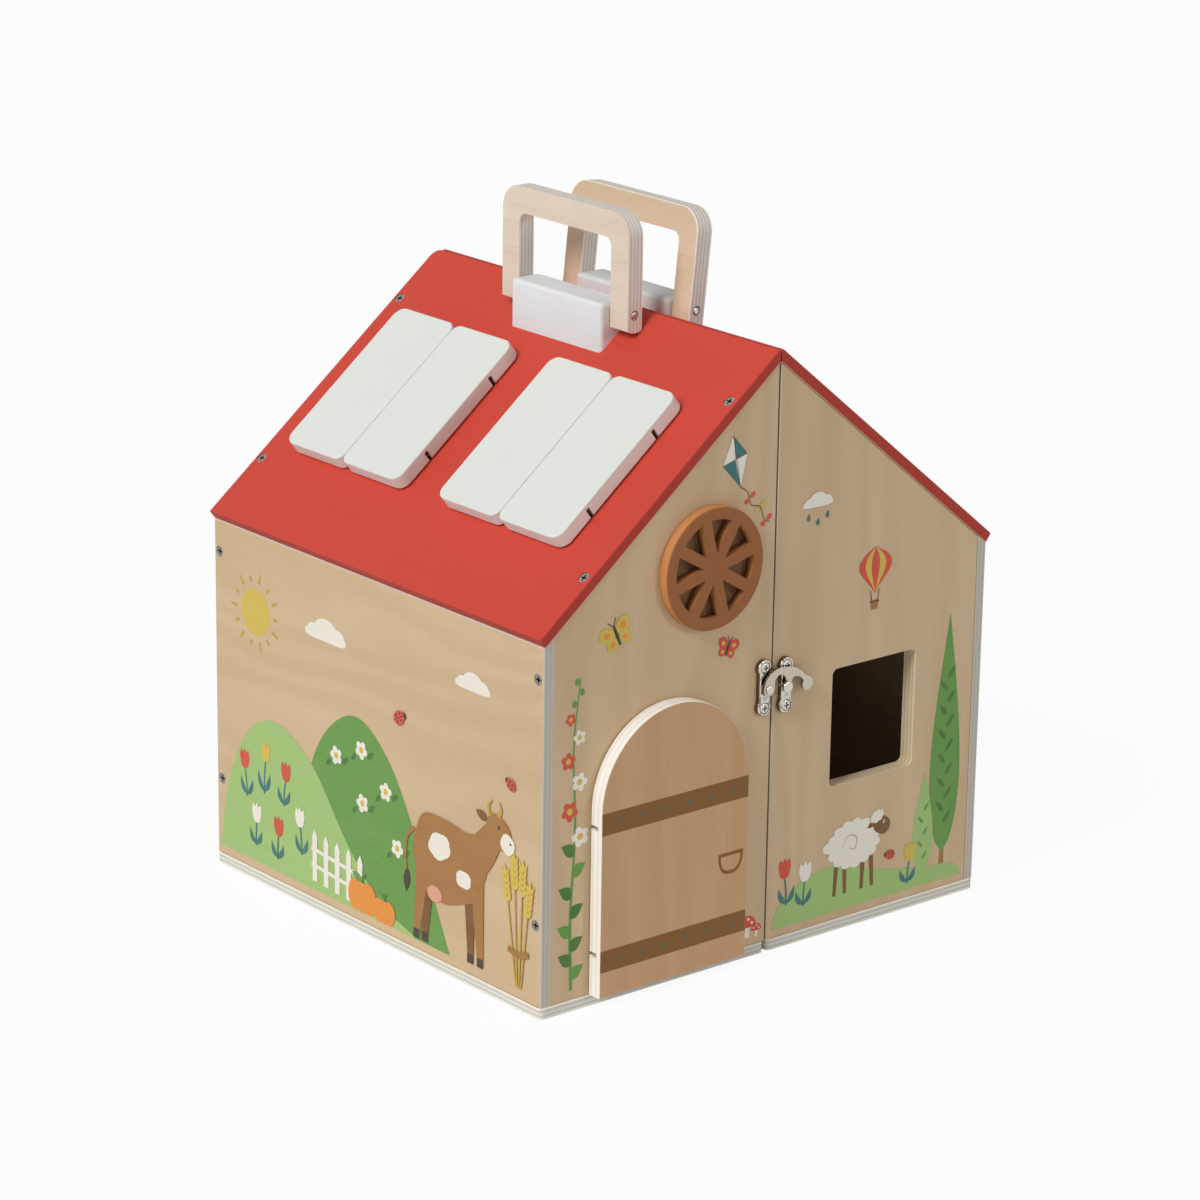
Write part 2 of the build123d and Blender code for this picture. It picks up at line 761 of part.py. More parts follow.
def catch_post():
    """Headed post that the hook's tooth drops behind."""
    head_back = hook_front_y - post_head_gap
    head = cylinder_y(post_head_radius, post_x, post_z, head_back - post_head_height, head_back)
    head = fillet(head.faces().sort_by(Axis.Y)[0].edges(), post_head_height * head_rounding)
    return head + cylinder_y(post_neck_radius, post_x, post_z, head_back, -half_depth)


def hinge_screw_places(side):
    """Screws of the rear hinge leaves on one half, flush with the leaves' faces."""
    face_y = half_depth + hinge_leaf_thickness
    middle_x = (knuckle_radius + hinge_leaf_width) / 2
    return [
        axis_location((side * middle_x, face_y, z + way * hinge_screw_pitch / 2), (0, 1, 0))
        for z in hinge_heights
        for way in (-1, 1)
    ]


def hinge_leaf(side, z):
    """Leaf of a rear hinge. The left one carries the outer knuckles, the right one the middle one."""
    plate = Box(hinge_leaf_width, hinge_leaf_thickness, hinge_leaf_height)
    plate_y = half_depth + hinge_leaf_thickness / 2
    leaf = Pos(side * hinge_leaf_width / 2, plate_y, z) * plate
    room = knuckle_height + 2 * knuckle_gap
    clear = 2 * (knuckle_radius + 2 * knuckle_gap)
    height = knuckle_height - knuckle_gap
    if side == LEFT:
        leaf = leaf - Pos(0, plate_y, z) * Box(clear, 2 * hinge_leaf_thickness, room)
        steps = (-knuckle_height, knuckle_height)
    else:
        for step in (-knuckle_height, knuckle_height):
            leaf = leaf - Pos(0, plate_y, z + step) * Box(clear, 2 * hinge_leaf_thickness, room)
        steps = (0,)
    for step in steps:
        leaf = leaf + Pos(0, hinge_axis_y, z + step) * Cylinder(knuckle_radius, height)
    return leaf - Pos(0, hinge_axis_y, z) * Cylinder(knuckle_bore, 2 * hinge_leaf_height)


def hinge_leaves(side):
    """Both rear hinge leaves of one half, with countersunk screw holes."""
    seat = screw_hole(
        small_screw_length,
        small_head_radius,
        small_head_height,
        small_shank_radius,
        small_flush_set_back,
    )
    leaves = []
    for z in hinge_heights:
        leaf = hinge_leaf(side, z)
        for place in hinge_screw_places(side):
            leaf = leaf - place * seat
        leaves.append(leaf)
    return Compound(leaves)


def hinge_screws(side):
    """Flush screws of both rear hinge leaves of one half."""
    screw = countersunk_screw(
        small_screw_length, small_head_radius, small_head_height, small_shank_radius
    )
    return Compound([place * screw for place in hinge_screw_places(side)])


def hinge_pins():
    """Pins of the two rear hinges."""
    pin = Cylinder(knuckle_bore - running_clearance, hinge_leaf_height)
    return Compound([Pos(0, hinge_axis_y, z) * pin for z in hinge_heights])


def collect_nodes():
    """Every node of the house by name."""
    nodes = {}
    for side, name in ((LEFT, "left"), (RIGHT, "right")):
        nodes["base_" + name] = base_board(side)
        nodes["side_wall_" + name] = side_wall(side)
        nodes["gable_rear_" + name] = rear_gable(side)
        nodes["wall_screws_" + name] = wood_screws(wall_screw_places(side))
        nodes["roof_screws_" + name] = wood_screws(roof_screw_places(side))
        nodes["base_screws_" + name] = wood_screws(base_screw_places(side))
        nodes["block_screws_" + name] = wood_screws(block_screw_places(side), block_screw_length)
        nodes["rear_hinge_leaves_" + name] = hinge_leaves(side)
        nodes["rear_hinge_screws_" + name] = hinge_screws(side)
    nodes["gable_front_left"] = front_gable_left()
    nodes["gable_front_right"] = front_gable_right()
    nodes["roof_left"] = roof_left()
    nodes["roof_right"] = roof_board(RIGHT)
    nodes["grip_block_left"] = grip_block()
    nodes["grip_block_right"] = half_turn(grip_block())
    nodes["handle_pivots_left"] = pivot_screws()
    nodes["handle_pivots_right"] = half_turn(pivot_screws())
    nodes["handle_left"] = carrying_handle()
    nodes["handle_right"] = right_handle()
    nodes["rear_hinge_pins"] = hinge_pins()
    nodes["round_vent"] = round_vent()
    nodes["door"] = door_board()
    nodes["door_hinge_pins"] = Compound([frame * hinge_pin() for frame in door_hinge_frames()])
    nodes["door_hinge_eyes"] = Compound([frame * hinge_eye(door_pin_out) for frame in door_hinge_frames()])
    eyes = []
    for name, (frame, way) in shutter_frames().items():
        hinges = [frame * Pos(step, 0, 0) for step in shutter_steps()]
        nodes[name] = frame * shutter_leaf(way)
        nodes[name + "_pins"] = Compound([place * hinge_pin() for place in hinges])
        eyes.extend(place * hinge_eye(shutter_pin_up) for place in hinges)
    nodes["shutter_hinge_eyes"] = Compound(eyes)
    nodes["latch_pivot_plate"] = pivot_plate()
    nodes["latch_rivet"] = hook_rivet()
    nodes["latch_hook"] = latch_hook()
    nodes["latch_catch_plate"] = catch_plate()
    nodes["latch_catch_post"] = catch_post()
    nodes["latch_screws_left"] = latch_screws(pivot_plate_x, pivot_plate_z)
    nodes["latch_screws_right"] = latch_screws(catch_plate_x, catch_plate_z)
    return nodes


os.makedirs("parts", exist_ok=True)
for node_name, node_part in collect_nodes().items():
    export_step(node_part, "parts/" + node_name + ".step")
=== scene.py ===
"""Looks of a wooden toy farmhouse in two hinged halves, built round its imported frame.

Metres, in the frame of the model: X to the right as seen from the door side, Y to the back, Z up,
origin on the floor under the middle of the closed house. Sizes of printed shapes are in millimetres.
"""

import functools
import json
import logging
import math
from dataclasses import dataclass
from enum import Enum
from typing import Any, Callable, Mapping, Optional, Sequence

import bpy
import numpy as np
from mathutils import Matrix, Vector

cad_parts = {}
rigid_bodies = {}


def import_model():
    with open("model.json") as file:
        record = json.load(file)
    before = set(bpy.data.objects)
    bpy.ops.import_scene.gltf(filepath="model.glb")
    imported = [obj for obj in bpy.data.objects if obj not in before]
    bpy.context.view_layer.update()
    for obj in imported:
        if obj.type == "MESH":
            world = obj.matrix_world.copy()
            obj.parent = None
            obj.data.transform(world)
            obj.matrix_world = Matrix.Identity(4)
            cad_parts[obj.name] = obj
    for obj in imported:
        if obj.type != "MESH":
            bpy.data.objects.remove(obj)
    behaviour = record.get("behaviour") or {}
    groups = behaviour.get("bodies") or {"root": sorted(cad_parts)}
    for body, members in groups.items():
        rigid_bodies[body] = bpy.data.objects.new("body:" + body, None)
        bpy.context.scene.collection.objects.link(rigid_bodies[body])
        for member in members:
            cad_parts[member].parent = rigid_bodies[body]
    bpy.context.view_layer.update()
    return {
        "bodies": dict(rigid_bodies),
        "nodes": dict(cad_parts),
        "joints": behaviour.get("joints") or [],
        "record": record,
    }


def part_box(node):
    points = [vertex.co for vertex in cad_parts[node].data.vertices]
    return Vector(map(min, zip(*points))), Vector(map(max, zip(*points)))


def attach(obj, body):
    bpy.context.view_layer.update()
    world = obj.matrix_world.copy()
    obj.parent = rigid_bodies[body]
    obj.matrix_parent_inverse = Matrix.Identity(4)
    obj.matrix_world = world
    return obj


LOG = logging.getLogger("farmhouse")

Colour = tuple[float, float, float, float]
Vec3 = tuple[float, float, float]
Point = tuple[float, float]
Array = np.ndarray
Node = bpy.types.Node
Socket = bpy.types.NodeSocket
Surface = tuple[Socket, Socket, Socket]
GroupMaker = Callable[[], bpy.types.NodeTree]

MM = 0.001
TAU = 2 * math.pi
RIGHT: Vec3 = (1.0, 0.0, 0.0)
BACK: Vec3 = (0.0, 1.0, 0.0)
UP: Vec3 = (0.0, 0.0, 1.0)
FRONT: Vec3 = (0.0, -1.0, 0.0)


def srgb(red: int, green: int, blue: int) -> Colour:
    """Linear colour, with an alpha of 1, of an sRGB value from 0 to 255."""
    parts = np.array([red, green, blue]) / 255.0
    linear = np.where(parts <= 0.04045, parts / 12.92, ((parts + 0.055) / 1.055) ** 2.4)
    return (*linear.tolist(), 1.0)


# ---- Shader building ----


class Shader:
    """A node tree with short calls that add nodes, feed their sockets and give their outputs."""

    def __init__(self, tree: bpy.types.NodeTree) -> None:
        """Wraps a node tree."""
        self.tree = tree

    def feed(self, socket: Socket, value: Any) -> None:
        """Links an input socket to its source, or sets its constant."""
        if isinstance(value, Socket):
            self.tree.links.new(value, socket)
        else:
            socket.default_value = value

    def node(self, kind: str, inputs: Optional[Mapping[Any, Any]] = None, **settings: Any) -> Node:
        """Adds a node.

        Args:
            kind: Blender's name of the node type, without ShaderNode before it.
            inputs: Sources or constants by input name or number.
            settings: Properties of the node.

        Returns:
            The new node.
        """
        made = self.tree.nodes.new("ShaderNode" + kind)
        for name, value in settings.items():
            setattr(made, name, value)
        for key, value in (inputs or {}).items():
            self.feed(made.inputs[key], value)
        return made

    def maths(self, operation: str, *values: Any) -> Socket:
        """Result of a Math node on up to three values."""
        return self.node("Math", dict(enumerate(values)), operation=operation).outputs[0]

    # The operations used most: a product, a difference, and a product of two values with a third added.
    times = functools.partialmethod(maths, "MULTIPLY")
    minus = functools.partialmethod(maths, "SUBTRACT")
    times_plus = functools.partialmethod(maths, "MULTIPLY_ADD")

    def vector(self, operation: str, vector: Any, other: Any) -> Node:
        """Vector Math node on a vector and another one, or a number for the operation SCALE."""
        key = "Scale" if operation == "SCALE" else 1
        return self.node("VectorMath", {0: vector, key: other}, operation=operation)

    def along(self, direction: Vec3, vector: Optional[Socket] = None) -> Socket:
        """Length of a vector, or of the shaded point's place, along a fixed direction."""
        return self.vector("DOT_PRODUCT", vector or self.position, direction).outputs["Value"]

    def scaled(self, colour: Any, factor: Socket) -> Socket:
        """A colour times a value."""
        return self.vector("SCALE", colour, factor).outputs[0]

    def noise(self, vector: Socket, scale: Vec3, detail: float = 2.0, roughness: float = 0.5) -> Socket:
        """Value noise from 0 to 1, by its cells per metre along each axis, its octaves and their weight."""
        stretched = self.vector("MULTIPLY", vector, scale).outputs[0]
        inputs = {"Vector": stretched, "Scale": 1.0, "Detail": detail, "Roughness": roughness}
        return self.node("TexNoise", inputs).outputs[0]

    def remap(self, value: Socket, low: float, high: float, to_low: float = 0, to_high: float = 1) -> Socket:
        """A value eased from one range to another and held at its ends."""
        inputs = {"Value": value, "From Min": low, "From Max": high, "To Min": to_low, "To Max": to_high}
        return self.node("MapRange", inputs, interpolation_type="SMOOTHSTEP").outputs[0]

    def mix(self, factor: Any, first: Any, second: Any, blend: str = "MIX") -> Socket:
        """Blend of two colours."""
        inputs = {0: factor, 6: first, 7: second}
        return self.node("Mix", inputs, data_type="RGBA", blend_type=blend).outputs[2]

    def clamp(self, value: Socket) -> Socket:
        """A value held between 0 and 1."""
        return self.node("Clamp", {0: value}).outputs[0]

    def combine(self, *parts: Socket) -> Socket:
        """Vector of three values."""
        return self.node("CombineXYZ", dict(enumerate(parts))).outputs[0]

    @functools.cached_property
    def position(self) -> Socket:
        """Object coordinates of the shaded point."""
        return self.node("TexCoord").outputs["Object"]

    def within(self, circle: Vec3, soft: float) -> Socket:
        """1 inside an upright circle, given by its centre's X and Z and its radius, and 0 just outside."""
        x, z, radius = circle
        across, up = self.minus(self.along(RIGHT), x), self.minus(self.along(UP), z)
        squares = self.times_plus(across, across, self.times(up, up))
        return self.remap(self.maths("SQRT", squares), radius, radius + soft, 1.0, 0.0)

    def bump(self, height: Socket, distance: float, strength: float) -> Socket:
        """Normal of a relief whose unit of height is a distance in metres."""
        return self.node("Bump", {"Strength": strength, "Distance": distance, "Height": height}).outputs[0]

    def group(self, tree: GroupMaker, **inputs: Any) -> Any:
        """Outputs of a shared group, fed by input name once its sockets have come with its tree."""
        made = self.node("Group", node_tree=tree())
        for name, value in inputs.items():
            self.feed(made.inputs[name], value)
        return made.outputs


SOCKET_KINDS = {"Point": "Vector", **dict.fromkeys(("Light", "Dark", "Pale", "Paint", "Color"), "Color")}


def shared_group(inputs: str, outputs: str) -> Callable[[Callable], GroupMaker]:
    """Makes a shader group of a function, built once, when it is first placed.

    Args:
        inputs: Names of the sockets that the function takes, of the kinds in SOCKET_KINDS or else values.
        outputs: Names of those that it returns.

    Returns:
        Decorator that turns the function into one that gives the group.
    """

    def decorate(compute: Callable) -> GroupMaker:
        """Wraps one function."""

        @functools.cache
        def tree() -> bpy.types.NodeTree:
            """Builds the group's sockets and nodes."""
            made = bpy.data.node_groups.new(compute.__name__, "ShaderNodeTree")
            for way, labels in (("INPUT", inputs), ("OUTPUT", outputs)):
                for label in labels.split():
                    kind = "NodeSocket" + SOCKET_KINDS.get(label, "Float")
                    made.interface.new_socket(name=label, in_out=way, socket_type=kind)
            given, out = made.nodes.new("NodeGroupInput"), made.nodes.new("NodeGroupOutput")
            s = Shader(made)
            results = compute(s, *(given.outputs[label] for label in inputs.split()))
            for label, value in zip(outputs.split(), results):
                s.feed(out.inputs[label], value)
            return made

        return tree

    return decorate


@shared_group("Point Light Dark Mottle Figure Fibre Fleck Seed", "Color Height Roughness")
def wood_grain(s: Shader, *given: Socket) -> tuple[Socket, ...]:
    """Sliced veneer: broad patches, wavy growth figure, fine fibre and short dark flecks.

    The point's X runs across the grain, Y through the board and Z along the grain. Figure is a sine
    of the way across, bent by slow noise; the fibre is noise drawn out along the grain.
    """
    place, light, dark, mottle, figure, fibre, fleck, seed = given
    shift = s.combine(seed, s.times(seed, 0.37), s.times(seed, 1.9))
    point = s.vector("ADD", place, shift).outputs[0]
    patches = s.noise(point, (16.0, 60.0, 5.0))
    bend = s.noise(point, (13.0, 80.0, 3.2))
    turns = s.times_plus(bend, 5.0, s.times(s.along(RIGHT, point), 38.0))
    rings = s.maths("SINE", s.times(turns, TAU))
    strands = s.noise(point, (1500.0, 1500.0, 42.0), 3.0, 0.6)
    pores = s.remap(s.noise(point, (2600.0, 2600.0, 210.0), 1.0), 0.62, 0.74)
    tone = s.times_plus(s.minus(patches, 0.5), mottle, 0.5)
    tone = s.times_plus(s.times(rings, 0.5), figure, tone)
    tone = s.times_plus(s.minus(strands, 0.5), fibre, tone)
    colour = s.mix(s.clamp(s.times_plus(pores, fleck, tone)), light, dark)
    return colour, s.minus(strands, s.times(pores, 0.6)), s.remap(strands, 0.2, 0.8, 0.46, 0.60)


@shared_group("Point Depth Plies Pale Dark Streak", "Color Height")
def ply_edge(s: Shader, *given: Socket) -> tuple[Socket, ...]:
    """Sawn edge of plywood: alternate plies, wavering glue lines and saw-streaked fibre.

    The ply's number is the whole part of Depth times Plies, and odd plies take the dark tone.
    """
    point, depth, plies, pale, dark, streak = given
    waver = s.times_plus(s.noise(point, (70.0, 5.0, 70.0), 1.0), 0.05, -0.025)
    place = s.times(s.maths("ADD", depth, waver), plies)
    inside = s.maths("FRACT", place)
    side = s.maths("MINIMUM", inside, s.minus(1.0, inside))
    odd = s.maths("ABSOLUTE", s.maths("MODULO", s.maths("FLOOR", place), 2.0))
    soft = s.times(odd, s.remap(side, 0.04, 0.30))
    streaks = s.noise(point, (420.0, 900.0, 420.0), 3.0, 0.65)
    colour = s.mix(s.clamp(s.times_plus(s.minus(streaks, 0.5), streak, soft)), pale, dark)
    return s.scaled(colour, s.remap(side, 0, 0.05, 0.86, 1)), s.minus(streaks, s.times(soft, 0.5))


@shared_group("Point Paint Mottle Relief", "Color Height Roughness")
def paint_film(s: Shader, *given: Socket) -> tuple[Socket, ...]:
    """Sprayed matt paint on wood: a cloudy tone, fine stipple and the grain showing faintly through."""
    point, paint, mottle, relief = given
    cloud = s.noise(point, (22.0, 22.0, 9.0), 3.0, 0.55)
    stipple = s.noise(point, (1500.0, 1500.0, 1500.0))
    grain = s.noise(point, (900.0, 900.0, 28.0), 2.0, 0.6)
    both = s.times_plus(s.minus(grain, 0.5), 0.5, s.minus(cloud, 0.5))
    toned = s.scaled(paint, s.times_plus(both, mottle, 1.0))
    height = s.times_plus(grain, relief, s.times(stipple, 0.35))
    return toned, height, s.remap(stipple, 0.25, 0.75, 0.50, 0.62)


@shared_group("Point Strength", "Smudge")
def handling(s: Shader, *given: Socket) -> tuple[Socket, ...]:
    """Faint smudges and rubbed patches left by handling: a value about 1 that scales roughness."""
    broad = s.noise(given[0], (34.0, 34.0, 34.0), 3.0, 0.6)
    return (s.times_plus(s.minus(broad, 0.5), given[1], 1),)


# ---- Finishes ----


@dataclass(frozen=True)
class BoardFrame:
    """Where a board lies: the normal of its show face, its grain, and both faces along the normal."""

    normal: Vec3
    grain: Vec3
    show: float
    back: float

    def point(self, s: Shader) -> Socket:
        """Place across the grain, through the board and along the grain."""
        across = tuple(Vector(self.normal).cross(Vector(self.grain)))
        return s.combine(*(s.along(way) for way in (across, self.normal, self.grain)))

    def depth(self, s: Shader) -> Socket:
        """Share of the thickness, from 0 at the show face to 1 at the back."""
        inputs = {"Value": s.along(self.normal), "From Min": self.show, "From Max": self.back}
        return s.node("MapRange", inputs).outputs[0]

    def near(self, s: Shader, depth: Socket) -> Socket:
        """Share of the thickness to the nearer face."""
        return s.maths("MINIMUM", depth, s.minus(1, depth))


@dataclass(frozen=True)
class Veneer:
    """Face tones of a wood, with the strength of each part of its grain."""

    light: Colour
    dark: Colour
    mottle: float = 0.9
    figure: float = 0.30
    fibre: float = 0.55
    fleck: float = 0.22

    def grain(self, s: Shader, point: Socket, seed: float) -> Any:
        """Outputs of the shared grain group, its pattern shifted by a seed in metres."""
        strengths = {name.capitalize(): value for name, value in vars(self).items()}
        return s.group(wood_grain, Point=point, Seed=seed, **strengths)


@dataclass(frozen=True)
class SawnEdge:
    """Tones of a board's edges and its number of plies, with a pale rim along the arrises that is a painted
    highlight.
    """

    pale: Colour
    dark: Colour
    plies: float = 5.0
    streak: float = 0.55
    # Painted highlight: the pale rim along the arrises, where they catch light, and its share of the edge.
    rim: Colour = srgb(238, 229, 212)
    arris_highlight_share: float = 0.08


class Finish:
    """A procedural material of this object, built once by name."""

    made: dict[str, bpy.types.Material] = {}
    name: str
    gloss = 0.5
    metallic = 0.0
    relief = (0.0, 0.0)

    def material(self) -> bpy.types.Material:
        """The finish as a Blender material."""
        if self.name not in self.made:
            material = self.made[self.name] = bpy.data.materials.new(self.name)
            material.use_nodes = True
            s = Shader(material.node_tree)
            surface = material.node_tree.nodes["Principled BSDF"].inputs
            colour, rough, height = self.surface(s)
            normal = s.bump(height, *self.relief)
            for name, value in (
                ("Base Color", colour), ("Roughness", rough), ("Normal", normal), ("Metallic", self.metallic),
                ("Specular IOR Level", self.gloss),
            ):
                s.feed(surface[name], value)
        return self.made[self.name]

    def surface(self, s: Shader) -> Surface:
        """Colour, roughness and height over the surface. The relief is a unit's height and its strength."""
        raise NotImplementedError


@dataclass(frozen=True)
class Plywood(Finish):
    """Lacquered plywood with veneered faces and striped edges."""

    name: str
    board: BoardFrame
    face: Veneer
    edge: SawnEdge
    seed: float = 0.0

    edge_from = (0.004, 0.022)
    arris_highlight_from = (0.8, 1.3)
    smudges = 0.25
    edge_rougher = 0.12
    gloss = 0.2
    relief = (0.00005, 0.55)

    def surface(self, s: Shader) -> Surface:
        """Face and edge tones by the place in the board's thickness."""
        point, depth, edge = self.board.point(s), self.board.depth(s), self.edge
        near = self.board.near(s, depth)
        mask = s.remap(near, *self.edge_from)
        grain = self.face.grain(s, point, self.seed)
        tones = {"Plies": edge.plies, "Pale": edge.pale, "Dark": edge.dark, "Streak": edge.streak}
        sawn = s.group(ply_edge, Point=point, Depth=depth, **tones)
        # Painted highlight: a pale rim on the edge faces next to the arrises.
        rim = s.remap(near, *(share * edge.arris_highlight_share for share in self.arris_highlight_from))
        side = s.mix(rim, edge.rim, sawn["Color"])
        rough = s.times(grain["Roughness"], s.group(handling, Point=point, Strength=self.smudges)["Smudge"])
        height = s.node("Mix", {0: mask, 2: grain["Height"], 3: sawn["Height"]}).outputs[0]
        whole = self.shaded(s, s.mix(mask, self.printed(s, depth, grain["Color"]), side))
        return whole, s.times_plus(mask, self.edge_rougher, rough), height

    def printed(self, s: Shader, depth: Socket, wood: Socket) -> Socket:
        """The face's colour with anything printed on it. Plain plywood has nothing."""
        return wood

    def shaded(self, s: Shader, wood: Socket) -> Socket:
        """The whole board's colour with any painted shade in its seams and recesses. Plain plywood has none.
        """
        return wood


@dataclass(frozen=True)
class GablePlywood(Plywood):
    """A gable's plywood, with painted shade in the seams at the split, the side wall and the roof, and on the
    floor of the vent's openings.

    The vent is given as its centre's X and Z and the radius of its openings.
    """

    roof_normal: Vec3 = UP
    roof_underside: float = 0.0
    wall_inside: float = 0.144
    split: float = 0.0004
    vent: Optional[Vec3] = None

    # Painted shade: the dark tone of the seams, and how strongly the split, the wall and the roof seams take
    # it.
    seam = srgb(70, 44, 28)
    vent_floor_shade = srgb(164, 146, 128)
    seam_shade_strength = 0.7
    roof_seam_shade_strength = 0.85
    vent_soft = 0.002

    def shaded(self, s: Shader, wood: Socket) -> Socket:
        """Paints shade into the seams, a millimetre wide at most, where the gaps shade the board, and onto
        the floor of the vent's openings, where the vent shades it.
        """
        across = s.maths("ABSOLUTE", s.along(RIGHT))
        at_split = s.remap(across, self.split + 0.1 * MM, self.split + 0.3 * MM, self.seam_shade_strength, 0)
        at_wall = s.remap(across, self.wall_inside - 0.3 * MM, self.wall_inside - 0.1 * MM, 0, self.seam_shade_strength)
        roof = self.roof_underside
        at_roof = s.remap(s.along(self.roof_normal), roof - 0.4 * MM, roof - 0.2 * MM, 0, self.roof_seam_shade_strength)
        # Painted shade in the gaps at the split, at the side wall and under the roof.
        seams = s.maths("MAXIMUM", at_split, s.maths("MAXIMUM", at_wall, at_roof))
        colour = s.mix(seams, wood, self.seam)
        if self.vent is None:
            return colour
        # Painted shade: the board darkens on the floor of the vent's openings.
        return s.mix(s.within(self.vent, self.vent_soft), colour, self.vent_floor_shade, "MULTIPLY")


@dataclass(frozen=True)
class DoorPlywood(Plywood):
    """The door's plywood, with printed straps, their studs and the outline of a ring pull, in millimetres."""

    strap_heights: tuple[Point, ...] = ((20.2, 31.8), (93.4, 105.1))
    stud_first: float = -107.5
    stud_pitch: float = 15.04
    stud_radius: float = 1.5
    ring_centre: Point = (-33.6, 65.9)
    ring_size: Point = (8.4, 11.9)
    ring_line: float = 1.9
    ring_power: float = 2.5

    strap = srgb(127, 86, 38)
    stud = srgb(92, 106, 82)
    ring = srgb(142, 92, 48)
    strap_shows_wood = 0.08
    stud_cover = 0.9
    soft = 0.05

    def printed(self, s: Shader, depth: Socket, wood: Socket) -> Socket:
        """Adds the straps, studs and ring to the show face.

        A strap is a band of heights. A stud is a circle repeated at its pitch along the strap. The ring is
        the lower half of an ellipse less a smaller one.
        """
        x, z = s.times(s.along(RIGHT), 1 / MM), s.times(s.along(UP), 1 / MM)
        front = s.maths("LESS_THAN", depth, 0.5)
        colour = wood
        step = s.maths("DIVIDE", s.minus(x, self.stud_first), self.stud_pitch)
        off = s.minus(s.maths("FRACT", s.maths("ADD", step, 0.5)), 0.5)
        stud_x = s.times(off, self.stud_pitch)
        for low, high in self.strap_heights:
            above = s.remap(z, low - self.soft, low + self.soft)
            band = s.times(above, s.remap(z, high - self.soft, high + self.soft, 1, 0))
            streaked = s.mix(self.strap_shows_wood, self.strap, wood)
            colour = s.mix(s.times(band, front), colour, streaked)
            reach = self.length(s, stud_x, s.minus(z, (low + high) / 2), 2)
            dot = s.remap(reach, self.stud_radius - 0.5, self.stud_radius + 0.3, self.stud_cover, 0)
            colour = s.mix(s.times(dot, front), colour, self.stud)
        line = s.minus(self.bowl(s, x, z, 0), self.bowl(s, x, z, self.ring_line))
        return s.mix(s.times(line, front), colour, self.ring)

    def length(self, s: Shader, across: Socket, up: Socket, power: float) -> Socket:
        """Length (|a|^p + |b|^p)^(1/p) of the two parts, where 2 is a circle's and more is squarer."""
        parts = [s.maths("POWER", s.maths("ABSOLUTE", part), power) for part in (across, up)]
        return s.maths("POWER", s.maths("ADD", *parts), 1 / power)

    def bowl(self, s: Shader, x: Socket, z: Socket, inset: float) -> Socket:
        """1 inside the ring's half ellipse, drawn in by an inset."""
        top = self.ring_centre[1] - inset
        across = s.maths("DIVIDE", s.minus(x, self.ring_centre[0]), self.ring_size[0] - inset)
        down = s.maths("DIVIDE", s.minus(z, top), self.ring_size[1] - 2 * inset)
        inside = s.remap(self.length(s, across, down, self.ring_power), 0.985, 1.015, 1, 0)
        return s.times(inside, s.remap(z, top - self.soft, top + self.soft, 1, 0))


@dataclass(frozen=True)
class Paint(Finish):
    """Matt paint on wood, with a bare back where the board has one, and painted shade on the cut walls inside
    a circle, darker with depth.
    """

    name: str
    board: BoardFrame
    colour: Colour
    mottle: float = 0.10
    relief_share: float = 0.6
    gloss: float = 0.2
    edge_colour: Optional[Colour] = None
    bare_back: Optional[Veneer] = None
    burnt_within: Optional[Vec3] = None

    rim_shares = (0.05, 0.12)
    back_shares = (0.93, 0.97)
    back_seed = 0.41
    # Painted shade on the cut walls: its tone, the depths over which it deepens, its strength and the
    # softness of its circle.
    cut_wall_shade = srgb(38, 24, 15)
    cut_wall_shade_shares = (0.22, 0.95)
    cut_wall_shade_strength = 0.7
    cut_wall_shade_soft = 0.001
    smudges = 0.3
    relief = (0.00006, 0.5)

    def surface(self, s: Shader) -> Surface:
        """The paint film, and the veneer on the back face where that is bare."""
        point, depth = self.board.point(s), self.board.depth(s)
        colour: Any = self.colour
        if self.edge_colour is not None:
            colour = s.mix(s.remap(self.board.near(s, depth), *self.rim_shares), colour, self.edge_colour)
        if self.burnt_within is not None:
            # Painted shade: the cut walls darken with depth, where less light reaches.
            deep = s.remap(depth, *self.cut_wall_shade_shares, 0, self.cut_wall_shade_strength)
            colour = s.mix(s.times(deep, s.within(self.burnt_within, self.cut_wall_shade_soft)), colour, self.cut_wall_shade)
        film = s.group(paint_film, Point=point, Paint=colour, Mottle=self.mottle, Relief=self.relief_share)
        shown = film["Color"]
        if self.bare_back is not None:
            grain = self.bare_back.grain(s, point, self.back_seed)
            shown = s.mix(s.remap(depth, *self.back_shares), shown, grain["Color"])
        smudge = s.group(handling, Point=point, Strength=self.smudges)["Smudge"]
        return shown, s.times(film["Roughness"], smudge), film["Height"]


@dataclass(frozen=True)
class Ink(Finish):
    """Print on plywood: the ink of each shape over the board's own grain, thin enough to show it."""

    name: str
    board: BoardFrame
    face: Veneer
    seed: float

    attribute = "ink"
    cover = 0.93
    cloud_share = 0.16
    fibre_share = 0.14
    gloss = 0.2
    relief = (0.00005, 0.45)

    def surface(self, s: Shader) -> Surface:
        """The ink, broken a little by the fibre under it."""
        point = self.board.point(s)
        grain = self.face.grain(s, point, self.seed)
        ink = s.node("Attribute", attribute_name=self.attribute).outputs["Color"]
        cloud = s.noise(point, (60, 60, 26), 3, 0.6)
        cover = s.times_plus(s.minus(cloud, 0.5), self.cloud_share, self.cover)
        cover = s.times_plus(s.minus(grain["Height"], 0.5), self.fibre_share, cover)
        return s.mix(cover, grain["Color"], ink), grain["Roughness"], grain["Height"]


